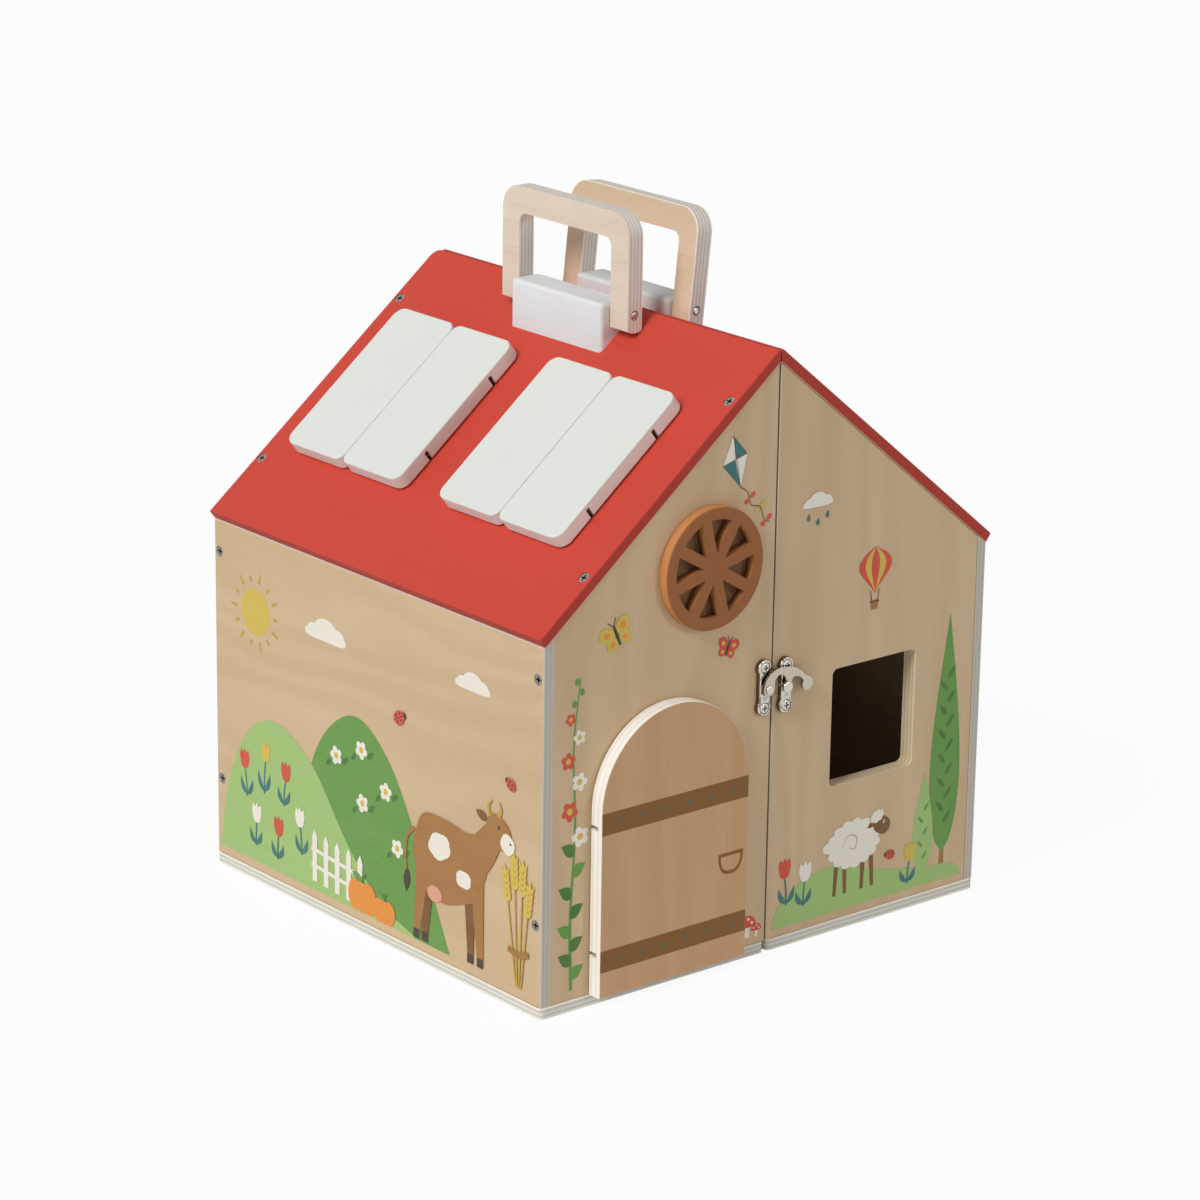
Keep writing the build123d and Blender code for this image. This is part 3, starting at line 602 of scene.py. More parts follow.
@dataclass(frozen=True)
class Metal(Finish):
    """Plated steel with fine scratches and handling marks, and painted shade where little light reaches it. A
    board gives a plate's sides a darker tone and its face dark cloudy patches by its cloud share, both
    painted dark reflections.
    """

    name: str
    colour: Colour
    rough: Point
    relief: Point = (0.00002, 0.3)
    board: Optional[BoardFrame] = None
    cloud_share: float = 0.0

    # Painted shade: the dark tone for recesses and for the plates' painted dark reflections, and how far the
    # occlusion looks.
    painted_dark_tone = srgb(30, 27, 24)
    recess_reach = 0.0014
    # Painted reflection: the darker tone of a plate's sides.
    side_reflection_tone = srgb(128, 118, 102)
    smudges = 0.5
    metallic = 1.0

    def surface(self, s: Shader) -> Surface:
        """The plating: pitted and scratched, and dark where little light reaches it."""
        pits = s.noise(s.position, (900, 900, 900), 3, 0.6)
        lines = s.noise(s.position, (3200, 500, 260))
        smudge = s.group(handling, Point=s.position, Strength=self.smudges)["Smudge"]
        shown = s.scaled(self.colour[:3], s.remap(pits, 0.2, 0.8, 0.90, 1.04))
        reach = {"Distance": self.recess_reach}
        light = s.node("AmbientOcclusion", reach, samples=8, only_local=True).outputs["AO"]
        if self.board is not None:
            cloud = s.noise(s.position, (520, 90, 300), 1)
            # Painted reflection: dark cloudy patches on the plate's face, by its cloud share.
            shown = s.mix(s.remap(cloud, 0.50, 0.62, 0, self.cloud_share), shown, self.painted_dark_tone)
            # Painted reflection: the plate's sides take a darker tone.
            shown = s.mix(s.remap(self.board.depth(s), 0.10, 0.22), shown, self.side_reflection_tone)
        # Painted shade: darker where ambient occlusion finds little light, as in the screws' slots.
        toned = s.mix(s.remap(light, 0.38, 0.92, 1, 0), shown, self.painted_dark_tone)
        return toned, s.times(s.remap(lines, 0.3, 0.7, *self.rough), smudge), s.maths("ADD", lines, pits)


# ---- The house ----


class Tone(Enum):
    """Tones of the house's woods, paints and inks."""

    BIRCH_LIGHT = srgb(217, 191, 156)
    BIRCH_DARK = srgb(200, 171, 134)
    RED = srgb(206, 73, 58)
    # Painted shade: a darker red for the roof boards' edges, which stand in shade.
    RED_EDGE_SHADE = srgb(176, 62, 52)
    WHITE = srgb(228, 230, 224)
    BLOCK_WHITE = srgb(229, 231, 232)
    GREEN = srgb(160, 196, 120)
    GREEN_DEEP = srgb(96, 152, 72)
    GREEN_DARK = srgb(60, 118, 56)
    TEAL = srgb(46, 116, 120)
    YELLOW = srgb(214, 186, 84)
    OCHRE = srgb(196, 160, 62)
    ORANGE = srgb(236, 142, 58)
    BROWN = srgb(164, 114, 62)
    BROWN_DARK = srgb(118, 78, 42)
    CREAM = srgb(240, 236, 224)
    CORAL = srgb(214, 78, 62)
    BLACK = srgb(46, 44, 44)
    PINK = srgb(226, 160, 140)


BIRCH = Veneer(Tone.BIRCH_LIGHT.value, Tone.BIRCH_DARK.value)


@dataclass(frozen=True)
class House:
    """Sizes of the house that its pieces share, in metres, where a ply is a board's thickness."""

    half_width: float = 0.150
    half_depth: float = 0.140
    ridge: float = 0.324
    pitch: float = math.radians(39.0)
    wall_ply: float = 0.006
    gable_ply: float = 0.009
    roof_ply: float = 0.006
    base_ply: float = 0.006
    split: float = 0.0008

    def slope_normal(self, side: int) -> Vec3:
        """Outward normal of a roof board: side is -1 on the left and 1 on the right."""
        return (side * math.sin(self.pitch), 0, math.cos(self.pitch))

    def slope_offset(self) -> float:
        """Distance of both roof faces' planes from the origin."""
        return self.ridge * math.cos(self.pitch)


@dataclass
class Part:
    """A sub-assembly of the house that dresses its nodes of the loaded frame."""

    frame: Mapping[str, Any]
    house: House = House()

    def dress(self, finish: Finish, *names: str) -> None:
        """Gives nodes a finish."""
        for name in names:
            slots = self.frame["nodes"][name].data.materials
            slots.clear()
            slots.append(finish.material())
            LOG.info("%s: %s", name, finish.name)

    def facing_front(self, name: str) -> BoardFrame:
        """Frame of a flat piece that faces the door side, from its own box."""
        low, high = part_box(name)
        return BoardFrame(FRONT, UP, -low.y, -high.y)

    def vent_circle(self, open_share: float = 0.81) -> Vec3:
        """Centre's X and Z and the opened radius of the round vent."""
        low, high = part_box("round_vent")
        middle = (low + high) / 2
        return (middle.x, middle.z, open_share * (high.x - low.x) / 2)


@dataclass
class Shell(Part):
    """Walls, gables and base boards of both halves."""

    base_edge: SawnEdge = SawnEdge(
        srgb(228, 224, 215), srgb(202, 195, 184), 5.0, 0.6, srgb(240, 236, 227), 0.12
    )
    wall_edge: SawnEdge = SawnEdge(
        srgb(200, 194, 184), srgb(188, 181, 170), 5.0, 0.8, srgb(206, 198, 186), 0.05
    )
    gable_edge: SawnEdge = SawnEdge(
        srgb(246, 224, 186), srgb(226, 201, 160), 7.0, 0.8, srgb(252, 240, 218), 0.08
    )
    base_seed: float = 0.53
    wall_seed: float = 0.13
    gable_seed: float = 0.29
    right_seed: float = 0.211

    def finish(self, name: str) -> Plywood:
        """Finish of a board by its node's name, with its frame and its share of the grain's seeds."""
        h = self.house
        side = -1 if name.endswith("left") else 1
        if name.startswith("side_wall"):
            board = BoardFrame((side, 0, 0), BACK, h.half_width, h.half_width - h.wall_ply)
            edge, seed = self.wall_edge, self.wall_seed
        elif name.startswith("gable"):
            normal = FRONT if "front" in name else BACK
            board = BoardFrame(normal, UP, h.half_depth, h.half_depth - h.gable_ply)
            edge, seed = self.gable_edge, self.gable_seed
        else:
            board = BoardFrame(UP, BACK, h.base_ply, 0)
            edge, seed = self.base_edge, self.base_seed
        seed += self.right_seed if side > 0 else 0
        plywood = (name + "_plywood", board, BIRCH, edge, seed)
        if not name.startswith("gable"):
            return Plywood(*plywood)
        vent = self.vent_circle() if name == "gable_front_left" else None
        underside, inside = h.slope_offset() - h.roof_ply, h.half_width - h.wall_ply
        return GablePlywood(*plywood, h.slope_normal(side), underside, inside, h.split / 2, vent)

    def build(self) -> None:
        """Dresses every board."""
        for part in ("base", "side_wall", "gable_front", "gable_rear"):
            for side in ("left", "right"):
                self.dress(self.finish(f"{part}_{side}"), f"{part}_{side}")


@dataclass
class Roof(Part):
    """Red roof boards, grip blocks and shutters."""

    shutter_gap: float = 0.0005
    shutter_ply: float = 0.009
    block_sides: Point = (0.0268, 0.008)

    def build(self) -> None:
        """Dresses the roof boards, blocks and shutters."""
        h = self.house
        offset = h.slope_offset()
        for side, name in ((-1, "left"), (1, "right")):
            board = BoardFrame(h.slope_normal(side), BACK, offset, offset - h.roof_ply)
            # The roof boards' edges take the darker red, a painted shade.
            tones = (Tone.RED.value, 0.12, 0.8, 0.18, Tone.RED_EDGE_SHADE.value, BIRCH)
            self.dress(Paint("red_roof_" + name, board, *tones), "roof_" + name)
            board = BoardFrame((side, 0, 0), BACK, *self.block_sides)
            block = Paint("white_block_" + name, board, Tone.BLOCK_WHITE.value, 0.17, 2.4, 0.2)
            self.dress(block, "grip_block_" + name)
        up_slope = (math.cos(h.pitch), 0, math.sin(h.pitch))
        low = offset + self.shutter_gap
        lid = BoardFrame(h.slope_normal(-1), up_slope, low + self.shutter_ply, low)
        leaves = (f"shutter_{pair}_{leaf}" for pair in ("front", "rear") for leaf in "ab")
        self.dress(Paint("white_shutters", lid, Tone.WHITE.value, 0.05, 0.5, 0.25), *leaves)


@dataclass
class Handles(Part):
    """Plywood carrying handles on both sides of the ridge; the right one leans outward about its pivot."""

    ply: float = 0.010
    pivot_x: float = 0.0161
    right_lean: float = math.radians(5.9)
    left_face: Veneer = Veneer(srgb(235, 219, 201), srgb(214, 195, 175), 0.9, 0.2, 1.15, 0.30)
    right_face: Veneer = Veneer(srgb(232, 208, 181), srgb(212, 186, 156), 1.1, 0.25, 1.0, 0.30)
    edge: SawnEdge = SawnEdge(srgb(232, 224, 214), srgb(206, 193, 183), 9.0, 0.75, srgb(243, 235, 224), 0.07)
    seeds: Point = (0.71, 0.83)

    def build(self) -> None:
        """Dresses both handles."""
        low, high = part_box("handle_pivots_right")
        pivot = Vector((self.pivot_x, 0, (low.z + high.z) / 2))
        leaning = Vector((math.cos(self.right_lean), 0, -math.sin(self.right_lean)))
        for name, normal, middle, face, seed in (
            ("left", (-1, 0, 0), self.pivot_x, self.left_face, self.seeds[0]),
            ("right", leaning, leaning.dot(pivot), self.right_face, self.seeds[1]),
        ):
            board = BoardFrame(tuple(normal), BACK, middle + self.ply / 2, middle - self.ply / 2)
            self.dress(Plywood(f"handle_{name}_plywood", board, face, self.edge, seed), "handle_" + name)


@dataclass
class Front(Part):
    """Door and round vent on the left gable."""

    door_face: Veneer = Veneer(srgb(214, 173, 133), srgb(193, 151, 111), 0.8, 0.25, 0.7, 0.35)
    door_edge: SawnEdge = SawnEdge(
        srgb(250, 247, 240), srgb(240, 234, 224), 5.0, 0.45, srgb(248, 242, 230), 0.05
    )
    door_seed: float = 0.37
    vent_face: Colour = srgb(157, 101, 62)
    vent_edge: Colour = srgb(200, 136, 84)

    def build(self) -> None:
        """Dresses the door and the vent."""
        board = self.facing_front("door")
        self.dress(DoorPlywood("door_plywood", board, self.door_face, self.door_edge, self.door_seed), "door")
        # The vent's cut walls take painted shade that deepens with depth.
        cut = {"edge_colour": self.vent_edge, "burnt_within": self.vent_circle()}
        disc = self.facing_front("round_vent")
        self.dress(Paint("brown_vent", disc, self.vent_face, 0.16, 0.9, 0.16, **cut), "round_vent")


@dataclass
class Hardware(Part):
    """Latch, hinges and screws."""

    plate_ply: float = 0.0029
    nickel: Colour = srgb(206, 200, 191)
    hook_nickel: Colour = srgb(192, 182, 168)
    nickel_rough: Point = (0.08, 0.18)
    # Share of the plates' faces that takes painted dark reflections.
    plate_dark_reflections: float = 0.55
    worn: Point = (0.00002, 0.5)

    def build(self) -> None:
        """Dresses every metal node by its name, from the most particular to the plainest."""
        wall = self.house.half_depth
        plate = BoardFrame(FRONT, UP, wall + self.plate_ply, wall)
        faced = {
            name: Metal(name + "_nickel", tone, self.nickel_rough, board=board, cloud_share=clouds)
            for name, tone, board, clouds in (
                ("latch_pivot_plate", self.nickel, plate, self.plate_dark_reflections),
                ("latch_catch_plate", self.nickel, plate, self.plate_dark_reflections),
                ("latch_hook", self.hook_nickel, self.facing_front("latch_hook"), 0),
            )
        }
        nickel = Metal("bright_nickel", self.nickel, self.nickel_rough)
        zinc = Metal("zinc_screws", srgb(150, 146, 140), (0.22, 0.36), self.worn)
        pivots = Metal("zinc_pivots", srgb(196, 193, 188), (0.22, 0.36), self.worn)
        wire = Metal("bright_hinge_wire", srgb(196, 192, 186), (0.24, 0.38), self.worn)
        dark_wire = Metal("dark_hinge_wire", srgb(62, 48, 40), (0.34, 0.5), self.worn)
        for name in self.frame["nodes"]:
            if name in faced:
                self.dress(faced[name], name)
            elif name.startswith(("latch", "rear_hinge_pins", "rear_hinge_leaves")):
                self.dress(nickel, name)
            elif "pivots" in name or "screws" in name:
                self.dress(pivots if "pivots" in name else zinc, name)
            elif name.endswith(("_pins", "_eyes")):
                self.dress(wire if name.startswith("door") else dark_wire, name)


# ---- Printed shapes ----


def samples(count: int, closed: bool = False) -> Array:
    """Evenly spaced parameter values from 0 to 1, without the end where the curve closes."""
    return np.linspace(0, 1, count, endpoint=not closed)


def spin(turn: float) -> Array:
    """Matrix that turns rows of points to the left by an angle in degrees."""
    cosine, sine = math.cos(math.radians(turn)), math.sin(math.radians(turn))
    return np.array([[cosine, sine], [-sine, cosine]])


def smooth_path(points: Sequence[Point], count: int = 40) -> Array:
    """Points on the smooth curve through control points.

    Formula: a Catmull-Rom cubic on each span, 0.5 (2 b + (c - a) t + (2 a - 5 b + 4 c - d) t^2
    + (3 b - a - 3 c + d) t^3), where b and c end the span and a and d stand before and after it.

    Args:
        points: Control points.
        count: Points to give.

    Returns:
        Array of count by 2.
    """
    given = np.asarray(points, float)
    padded = np.vstack([2 * given[0] - given[1], given, 2 * given[-1] - given[-2]])
    place = samples(count) * (len(given) - 1)
    span = np.minimum(place.astype(int), len(given) - 2)
    t = (place - span)[:, None]
    a, b, c, d = (padded[span + step] for step in range(4))
    return 0.5 * (2 * b + (c - a) * t + (2 * a - 5 * b + 4 * c - d) * t**2 + (3 * b - a - 3 * c + d) * t**3)


def grid_faces(rows: int, columns: int, closed: bool) -> Array:
    """Four-cornered faces, as point numbers, of a grid whose last column joins the first if it is closed."""
    across = np.arange(columns if closed else columns - 1)
    row = np.arange(rows - 1)[:, None] * columns
    nxt = (across + 1) % columns
    quads = np.stack([row + across, row + nxt, row + columns + nxt, row + columns + across], axis=-1)
    return quads.reshape(-1, 4)


@dataclass
class Pen:
    """Lays flat shapes one on another, in a motif's own units that it scales, turns and moves into place."""

    shapes: list[tuple[Array, Tone, bool]]
    place: Point = (0.0, 0.0)
    size: float = 1.0
    turn: float = 0.0

    def at(self, place: Point, size: float = 1.0, turn: float = 0.0) -> "Pen":
        """A pen for the same shapes with another place, scale and turn to the left in degrees."""
        return Pen(self.shapes, place, size, turn)

    def lay(self, tone: Tone, grid: Array, closed: bool = False) -> None:
        """Lays a grid of points, rows by columns by 2, which may close round its columns."""
        self.shapes.append((self.size * (grid @ spin(self.turn)) + self.place, tone, closed))

    def band(self, tone: Tone, lower: Array, upper: Array) -> None:
        """Surface between two curves of as many points: (1 - v) lower(u) + v upper(u)."""
        v = np.array([0, 0.5, 1])[:, None, None]
        self.lay(tone, (1 - v) * lower + v * upper)

    def hill(self, tone: Tone, level: float, points: Sequence[Point], count: int) -> None:
        """Ground under a smooth line, down to a level."""
        top = smooth_path(points, count)
        self.band(tone, top * (1, 0) + (0, level), top)

    def blob(
        self, tone: Tone, centre: Point, size: Any, lobes: int = 0, depth: float = 0, turn: float = 0,
        power: float = 2.0, count: int = 56,
    ) -> None:
        """Filled closed outline on a polar grid of centre, middle ring and rim.

        Formula: at the angle u the outline's superellipse point (|cos u|^(2/p), |sin u|^(2/p)) with its signs
        is scaled by 1 - depth + depth |sin(lobes u / 2)| and by both half sizes, then turned.

        Args:
            tone: Its ink.
            centre: Middle of the shape.
            size: Half width and half height, or a radius.
            lobes: Scallops round the outline.
            depth: How far the scallops cut in, as a share.
            turn: Turn to the left, in degrees.
            power: 2 for an ellipse and more for a squarer shape.
            count: Points round the outline.
        """
        u = samples(count, closed=True) * TAU
        around = np.stack([np.cos(u), np.sin(u)], axis=-1)
        scallop = 1 - depth + depth * np.abs(np.sin(lobes * u / 2))
        outline = np.sign(around) * np.abs(around) ** (2 / power) * scallop[:, None] * size
        rings = np.array([0, 0.6, 1])[:, None, None]
        self.lay(tone, rings * (outline @ spin(turn)) + centre, closed=True)

    def stroke(self, tone: Tone, points: Sequence[Point], widths: Any, count: int = 32) -> None:
        """Tapered line along a smooth path: path(u) + v width(u) normal(u), with v from -1/2 to 1/2.

        Args:
            tone: Its ink.
            points: Control points of the path.
            widths: One width, or widths at even steps along the path.
            count: Points along it.
        """
        path = smooth_path(points, count) if len(points) > 2 else np.linspace(*points, count)
        along = np.gradient(path, axis=0)
        along /= np.maximum(np.linalg.norm(along, axis=1, keepdims=True), 1e-9)
        normal = np.stack([-along[:, 1], along[:, 0]], axis=-1)
        widths = np.atleast_1d(widths)
        wide = np.interp(samples(count), samples(len(widths)), widths)[:, None] / 2
        self.band(tone, path - normal * wide, path + normal * wide)

    def leaf(
        self, tone: Tone, root: Point, tip: Point, width: float, belly: float = 0.8, bend: float = 0.0
    ) -> None:
        """Pointed leaf: root + u (tip - root) + (v width/2 sin(pi u^belly) + bend sin(pi u)) normal.

        Args:
            tone: Its ink.
            root: Where the leaf starts.
            tip: Where it ends.
            width: Greatest width.
            belly: Under 1 moves the widest part towards the root.
            bend: Bow of the middle line to the left of the way from root to tip.
        """
        u = samples(24)[:, None]
        way = np.subtract(tip, root)
        normal = np.array([-way[1], way[0]]) / np.linalg.norm(way)
        middle = np.asarray(root) + u * way + bend * np.sin(np.pi * u) * normal
        half = width / 2 * np.sin(np.pi * u**belly) * normal
        self.band(tone, middle - half, middle + half)


@dataclass
class Picture(Part):
    """Printed shapes on the show face of a board of the shell, gathered into a single thin piece."""

    base_lift: float = 0.04
    step_lift: float = 0.004
    name = board = ink = body = ""
    across = RIGHT

    def draw(self, pen: Pen) -> None:
        """Draws the shapes; the first coordinate runs along across and the second up."""
        raise NotImplementedError

    def build(self) -> None:
        """Makes the piece and lets it ride on the board's body.

        A point (h, z) lies on the face at h across + z up + lift outward, and the lift grows by a few
        thousandths of a millimetre from shape to shape. Each face is turned to point outward.
        """
        pen = Pen([])
        self.draw(pen)
        plywood = Shell(self.frame).finish(self.board)
        outward = np.asarray(plywood.board.normal, float)
        corners, faces, inks = [], [], []
        for number, (grid, tone, closed) in enumerate(pen.shapes):
            lift = plywood.board.show + MM * (self.base_lift + self.step_lift * number)
            points = MM * (grid.reshape(-1, 2) @ np.array([self.across, UP])) + lift * outward
            quads = grid_faces(*grid.shape[:2], closed)
            ends = points[quads]
            turned = np.cross(ends[:, 2] - ends[:, 0], ends[:, 3] - ends[:, 1]) @ outward
            quads[turned < 0] = quads[turned < 0][:, ::-1]
            faces.append(quads + sum(map(len, corners)))
            corners.append(points)
            inks.append(np.tile(np.asarray(tone.value), (len(points), 1)))
        mesh = bpy.data.meshes.new(self.name)
        mesh.from_pydata(np.vstack(corners).tolist(), [], np.vstack(faces).tolist())
        layer = mesh.color_attributes.new(name=Ink.attribute, type="FLOAT_COLOR", domain="POINT")
        layer.data.foreach_set("color", np.vstack(inks).astype(np.float32).ravel())
        mesh.validate()
        piece = bpy.data.objects.new(self.name, mesh)
        bpy.context.scene.collection.objects.link(piece)
        mesh.materials.append(Ink(self.ink, plywood.board, BIRCH, plywood.seed).material())
        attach(piece, self.body)
        LOG.info("%s: %d shapes, %d faces", self.name, len(pen.shapes), len(mesh.polygons))

    def tulip(self, pen: Pen, foot: Point, height: float, bloom: Tone, lean: float) -> None:
        """Stem, two leaves and a three-pointed flower that stands to the right of the foot by a lean."""
        stem, flower = pen.at(foot), pen.at((foot[0] + lean, foot[1] + height))
        stem.stroke(Tone.TEAL, [(0, 0), (0.2 * lean, 0.5 * height), (lean, height)], [1.3, 1])
        for way in (-1, 1):
            stem.leaf(Tone.TEAL, (0, 0.05 * height), (5.4 * way, 0.62 * height), 3.2, bend=-1.3 * way)
        for way in (-1, 1):
            flower.leaf(bloom, (0.8 * way, -0.5), (3.3 * way, 9.2), 4.4, 0.9)
        flower.blob(bloom, (0, 2.6), (3.6, 4.2), power=2.4)
        flower.leaf(bloom, (0, 0), (0, 9.8), 4, 0.9)

    def daisy(self, pen: Pen, centre: Point, radius: float, bloom: Tone, turn: float) -> None:
        """Open flower: a ring of five petals round a yellow eye."""
        pen.blob(bloom, centre, radius, lobes=5, depth=0.34, turn=turn, count=96)
        pen.blob(Tone.YELLOW, centre, 0.34 * radius, count=24)

    def cloud(self, pen: Pen, centre: Point, size: Point) -> None:
        """Three cream puffs on one line."""
        (x, z), (w, h) = centre, size
        for shift, scale in ((-0.52, 0.62), (0.5, 0.7), (0, 1)):
            place = (x + shift * w, z - 0.5 * h * (1 - scale))
            pen.blob(Tone.CREAM, place, (0.52 * w * scale, 0.62 * h * scale), count=40)
        pen.blob(Tone.CREAM, (x, z - 0.34 * h), (0.94 * w, 0.28 * h), power=4, count=48)

    def ladybird(self, pen: Pen, turn: float) -> None:
        """Dark head, red back, middle line and four spots. The round ones keep their points upright."""
        pen.blob(Tone.BLACK, (3.6, 0), 1.9, turn=-turn, count=20)
        pen.blob(Tone.CORAL, (0, 0), (4.2, 3.5), count=36)
        pen.stroke(Tone.BLACK, [(4, 0), (-4.1, 0)], 0.5, 8)
        for spot in ((1.4, 1.7), (-1.5, 1.6), (1.4, -1.7), (-1.5, -1.6)):
            pen.blob(Tone.BLACK, spot, 0.72, turn=-turn, count=16)


class WallPicture(Picture):
    """Meadow with a cow, pumpkins and wheat on the left side wall, drawn from the back to the front."""

    name, board, ink, body = "picture_side_wall", "side_wall_left", "wall_ink", "left_half"
    across = FRONT

    def draw(self, pen: Pen) -> None:
        """Draws the motifs from the farthest to the nearest."""
        self.sun(pen.at((-103, 152), 13), 14)
        self.cloud(pen, (-40, 158), (19, 10))
        self.cloud(pen, (84, 163), (15, 8))
        pen.hill(Tone.GREEN_DEEP, 11, [(-66, 50), (-44, 98), (-14, 118), (16, 100), (42, 58), (66, 12)], 48)
        near = [(-137, 12), (-129, 50), (-110, 84), (-83, 95), (-52, 80), (-22, 46), (6, 22), (36, 12)]
        pen.hill(Tone.GREEN, 11, near, 64)
        for number, place in enumerate(((-31, 92), (-9, 101), (12, 84), (-8, 72), (22, 56))):
            self.daisy(pen, place, 5.2, Tone.CREAM, 25 * number)
            pen.at(place).leaf(Tone.GREEN_DARK, (5, -3), (11, 1.5), 3.4)
            pen.at(place).leaf(Tone.GREEN_DARK, (-4.6, -3.4), (-9, -7.6), 3)
        for tulip in (
            ((-112, 46), 17, Tone.CORAL, -2), ((-96, 52), 20, Tone.YELLOW, 1.5),
            ((-78, 50), 16, Tone.CORAL, 2), ((-104, 20), 15, Tone.CREAM, 1),
            ((-62, 27), 17, Tone.CREAM, -1.5), ((-84, 18), 15, Tone.CORAL, 1),
        ):
            self.tulip(pen, *tulip)
        self.fence(pen.at((-50, 16)))
        self.pumpkin(pen.at((-8, 20), 10.5))
        self.pumpkin(pen.at((11, 17.5), 8))
        self.cow(pen)
        for foot, tip in (
            ((121, 12), (112, 70)), ((122, 12), (119, 78)), ((123.5, 12), (126, 76)),
            ((125, 12), (131.5, 66)),
        ):
            self.wheat(pen, foot, tip, 1.25)
        pen.stroke(Tone.BROWN, [(114.5, 31), (123, 29.5), (131, 32)], [3.2, 3.6, 3.2], 16)
        self.ladybird(pen.at((24, 128), 1.1, 28), 28)
        self.ladybird(pen.at((116, 118), 0.9, 150), 150)

    def sun(self, pen: Pen, rays: int) -> None:
        """Yellow disc with short tapered rays, in its own radii."""
        pen.blob(Tone.YELLOW, (0, 0), 1)
        for number in range(rays):
            way = spin(360 * number / rays)[0]
            pen.stroke(Tone.OCHRE, [1.28 * way, (1.72 if number % 2 else 1.55) * way], [0.16, 0.07], 6)

    def fence(self, pen: Pen) -> None:
        """Cream picket fence of two rails and five pales."""
        for height in (9, 18):
            pen.stroke(Tone.CREAM, [(-3, height), (43, height - 3)], 2.2, 8)
        for number in range(5):
            x, z = 10 * number, -0.6 * number
            pen.stroke(Tone.CREAM, [(x, z), (x, z + 24)], 4.2, 6)
            pen.leaf(Tone.CREAM, (x, z + 21), (x, z + 29), 4.6, 0.7)

    def pumpkin(self, pen: Pen) -> None:
        """Three ribs of orange under a short stalk with a leaf."""
        for shift, wide in ((-0.55, 0.62), (0.55, 0.62), (0, 0.6)):
            pen.blob(Tone.ORANGE, (shift, 0), (wide, 0.82), count=36)
        for bow in (-0.62, -0.22, 0.22, 0.62):
            rib = [(0.5 * bow, 0.72), (1.1 * bow, 0), (0.5 * bow, -0.72)]
            pen.stroke(Tone.OCHRE, rib, [0.02, 0.09, 0.02], 16)
        pen.stroke(Tone.GREEN_DARK, [(0, 0.74), (0.05, 1.05), (0.28, 1.2)], [0.24, 0.16], 10)
        pen.leaf(Tone.GREEN_DEEP, (0, 0.85), (-0.85, 1.15), 0.42)

    def wheat(self, pen: Pen, foot: Point, tip: Point, size: float) -> None:
        """Stalk with paired grains towards its tip and one at its end, drawn back from the tip."""
        pen = pen.at(tip, size, math.degrees(math.atan2(tip[1] - foot[1], tip[0] - foot[0])))
        pen.stroke(Tone.OCHRE, [(-math.dist(foot, tip) / size, 0), (0, 0)], [0.9, 0.8], 8)
        for step in range(5):
            root = -2.6 * step - 1
            for side in (-1, 1):
                pen.leaf(Tone.YELLOW, (root, 0), (root + 3.6, 2.6 * side), 2)
        pen.leaf(Tone.YELLOW, (-1, 0), (4.4, 0), 2.2)

    def cow(self, pen: Pen) -> None:
        """Brown cow that faces the front corner, with cream patches and a tufted tail."""
        brown, dark, cream, black = Tone.BROWN, Tone.BROWN_DARK, Tone.CREAM, Tone.BLACK
        pen.stroke(dark, [(46, 14), (49, 50)], [4.4, 9], 10)
        pen.stroke(dark, [(84, 14), (83, 50)], [4.4, 9], 10)
        back = smooth_path([(36, 66), (44, 82), (62, 84), (80, 82), (92, 84), (100, 80)])
        pen.band(brown, smooth_path([(36, 58), (42, 44), (60, 38), (76, 42), (88, 48), (96, 62)]), back)
        pen.stroke(brown, [(39, 13), (44, 56)], [4.6, 11], 12)
        pen.stroke(brown, [(92, 13), (89, 60)], [4.6, 11], 12)
        for x in (39, 46, 84, 92):
            pen.stroke(black, [(x - 0.3, 12.5), (x - 0.2, 17.5)], [5.2, 4.8], 4)
        pen.blob(cream, (58, 68), (9.5, 7.5), lobes=5, depth=0.10, turn=15)
        pen.blob(cream, (78, 56), (6.5, 5), lobes=4, depth=0.12)
        pen.blob(Tone.PINK, (54, 41), (6, 4.4))
        pen.stroke(brown, [(83, 64), (95, 78), (104, 90)], [20, 19, 14], 20)
        pen.blob(brown, (106, 90), (10, 8.4), turn=-24, power=2.5)
        pen.blob(cream, (113.5, 85.5), (5.4, 5.2), turn=-30, power=2.6)
        pen.leaf(dark, (97, 94), (87.5, 97), 5)
        pen.stroke(Tone.OCHRE, [(99, 97), (98, 102), (101, 106)], [2.6, 2, 0.5], 12)
        pen.stroke(Tone.OCHRE, [(106, 98), (108, 102), (106.5, 106.5)], [2.6, 2, 0.5], 12)
        pen.blob(black, (106.5, 92.5), (0.95, 1.2), count=18)
        pen.blob(black, (115.8, 86.4), (0.8, 0.6), count=16)
        pen.stroke(brown, [(37, 72), (31, 66), (29.5, 54), (31, 44)], [2.6, 1.6, 1.4], 24)
        pen.leaf(black, (31, 48), (30, 35), 5.2)
        pen.leaf(Tone.GREEN_DEEP, (116.5, 80), (122.5, 74.5), 1.8, bend=1)


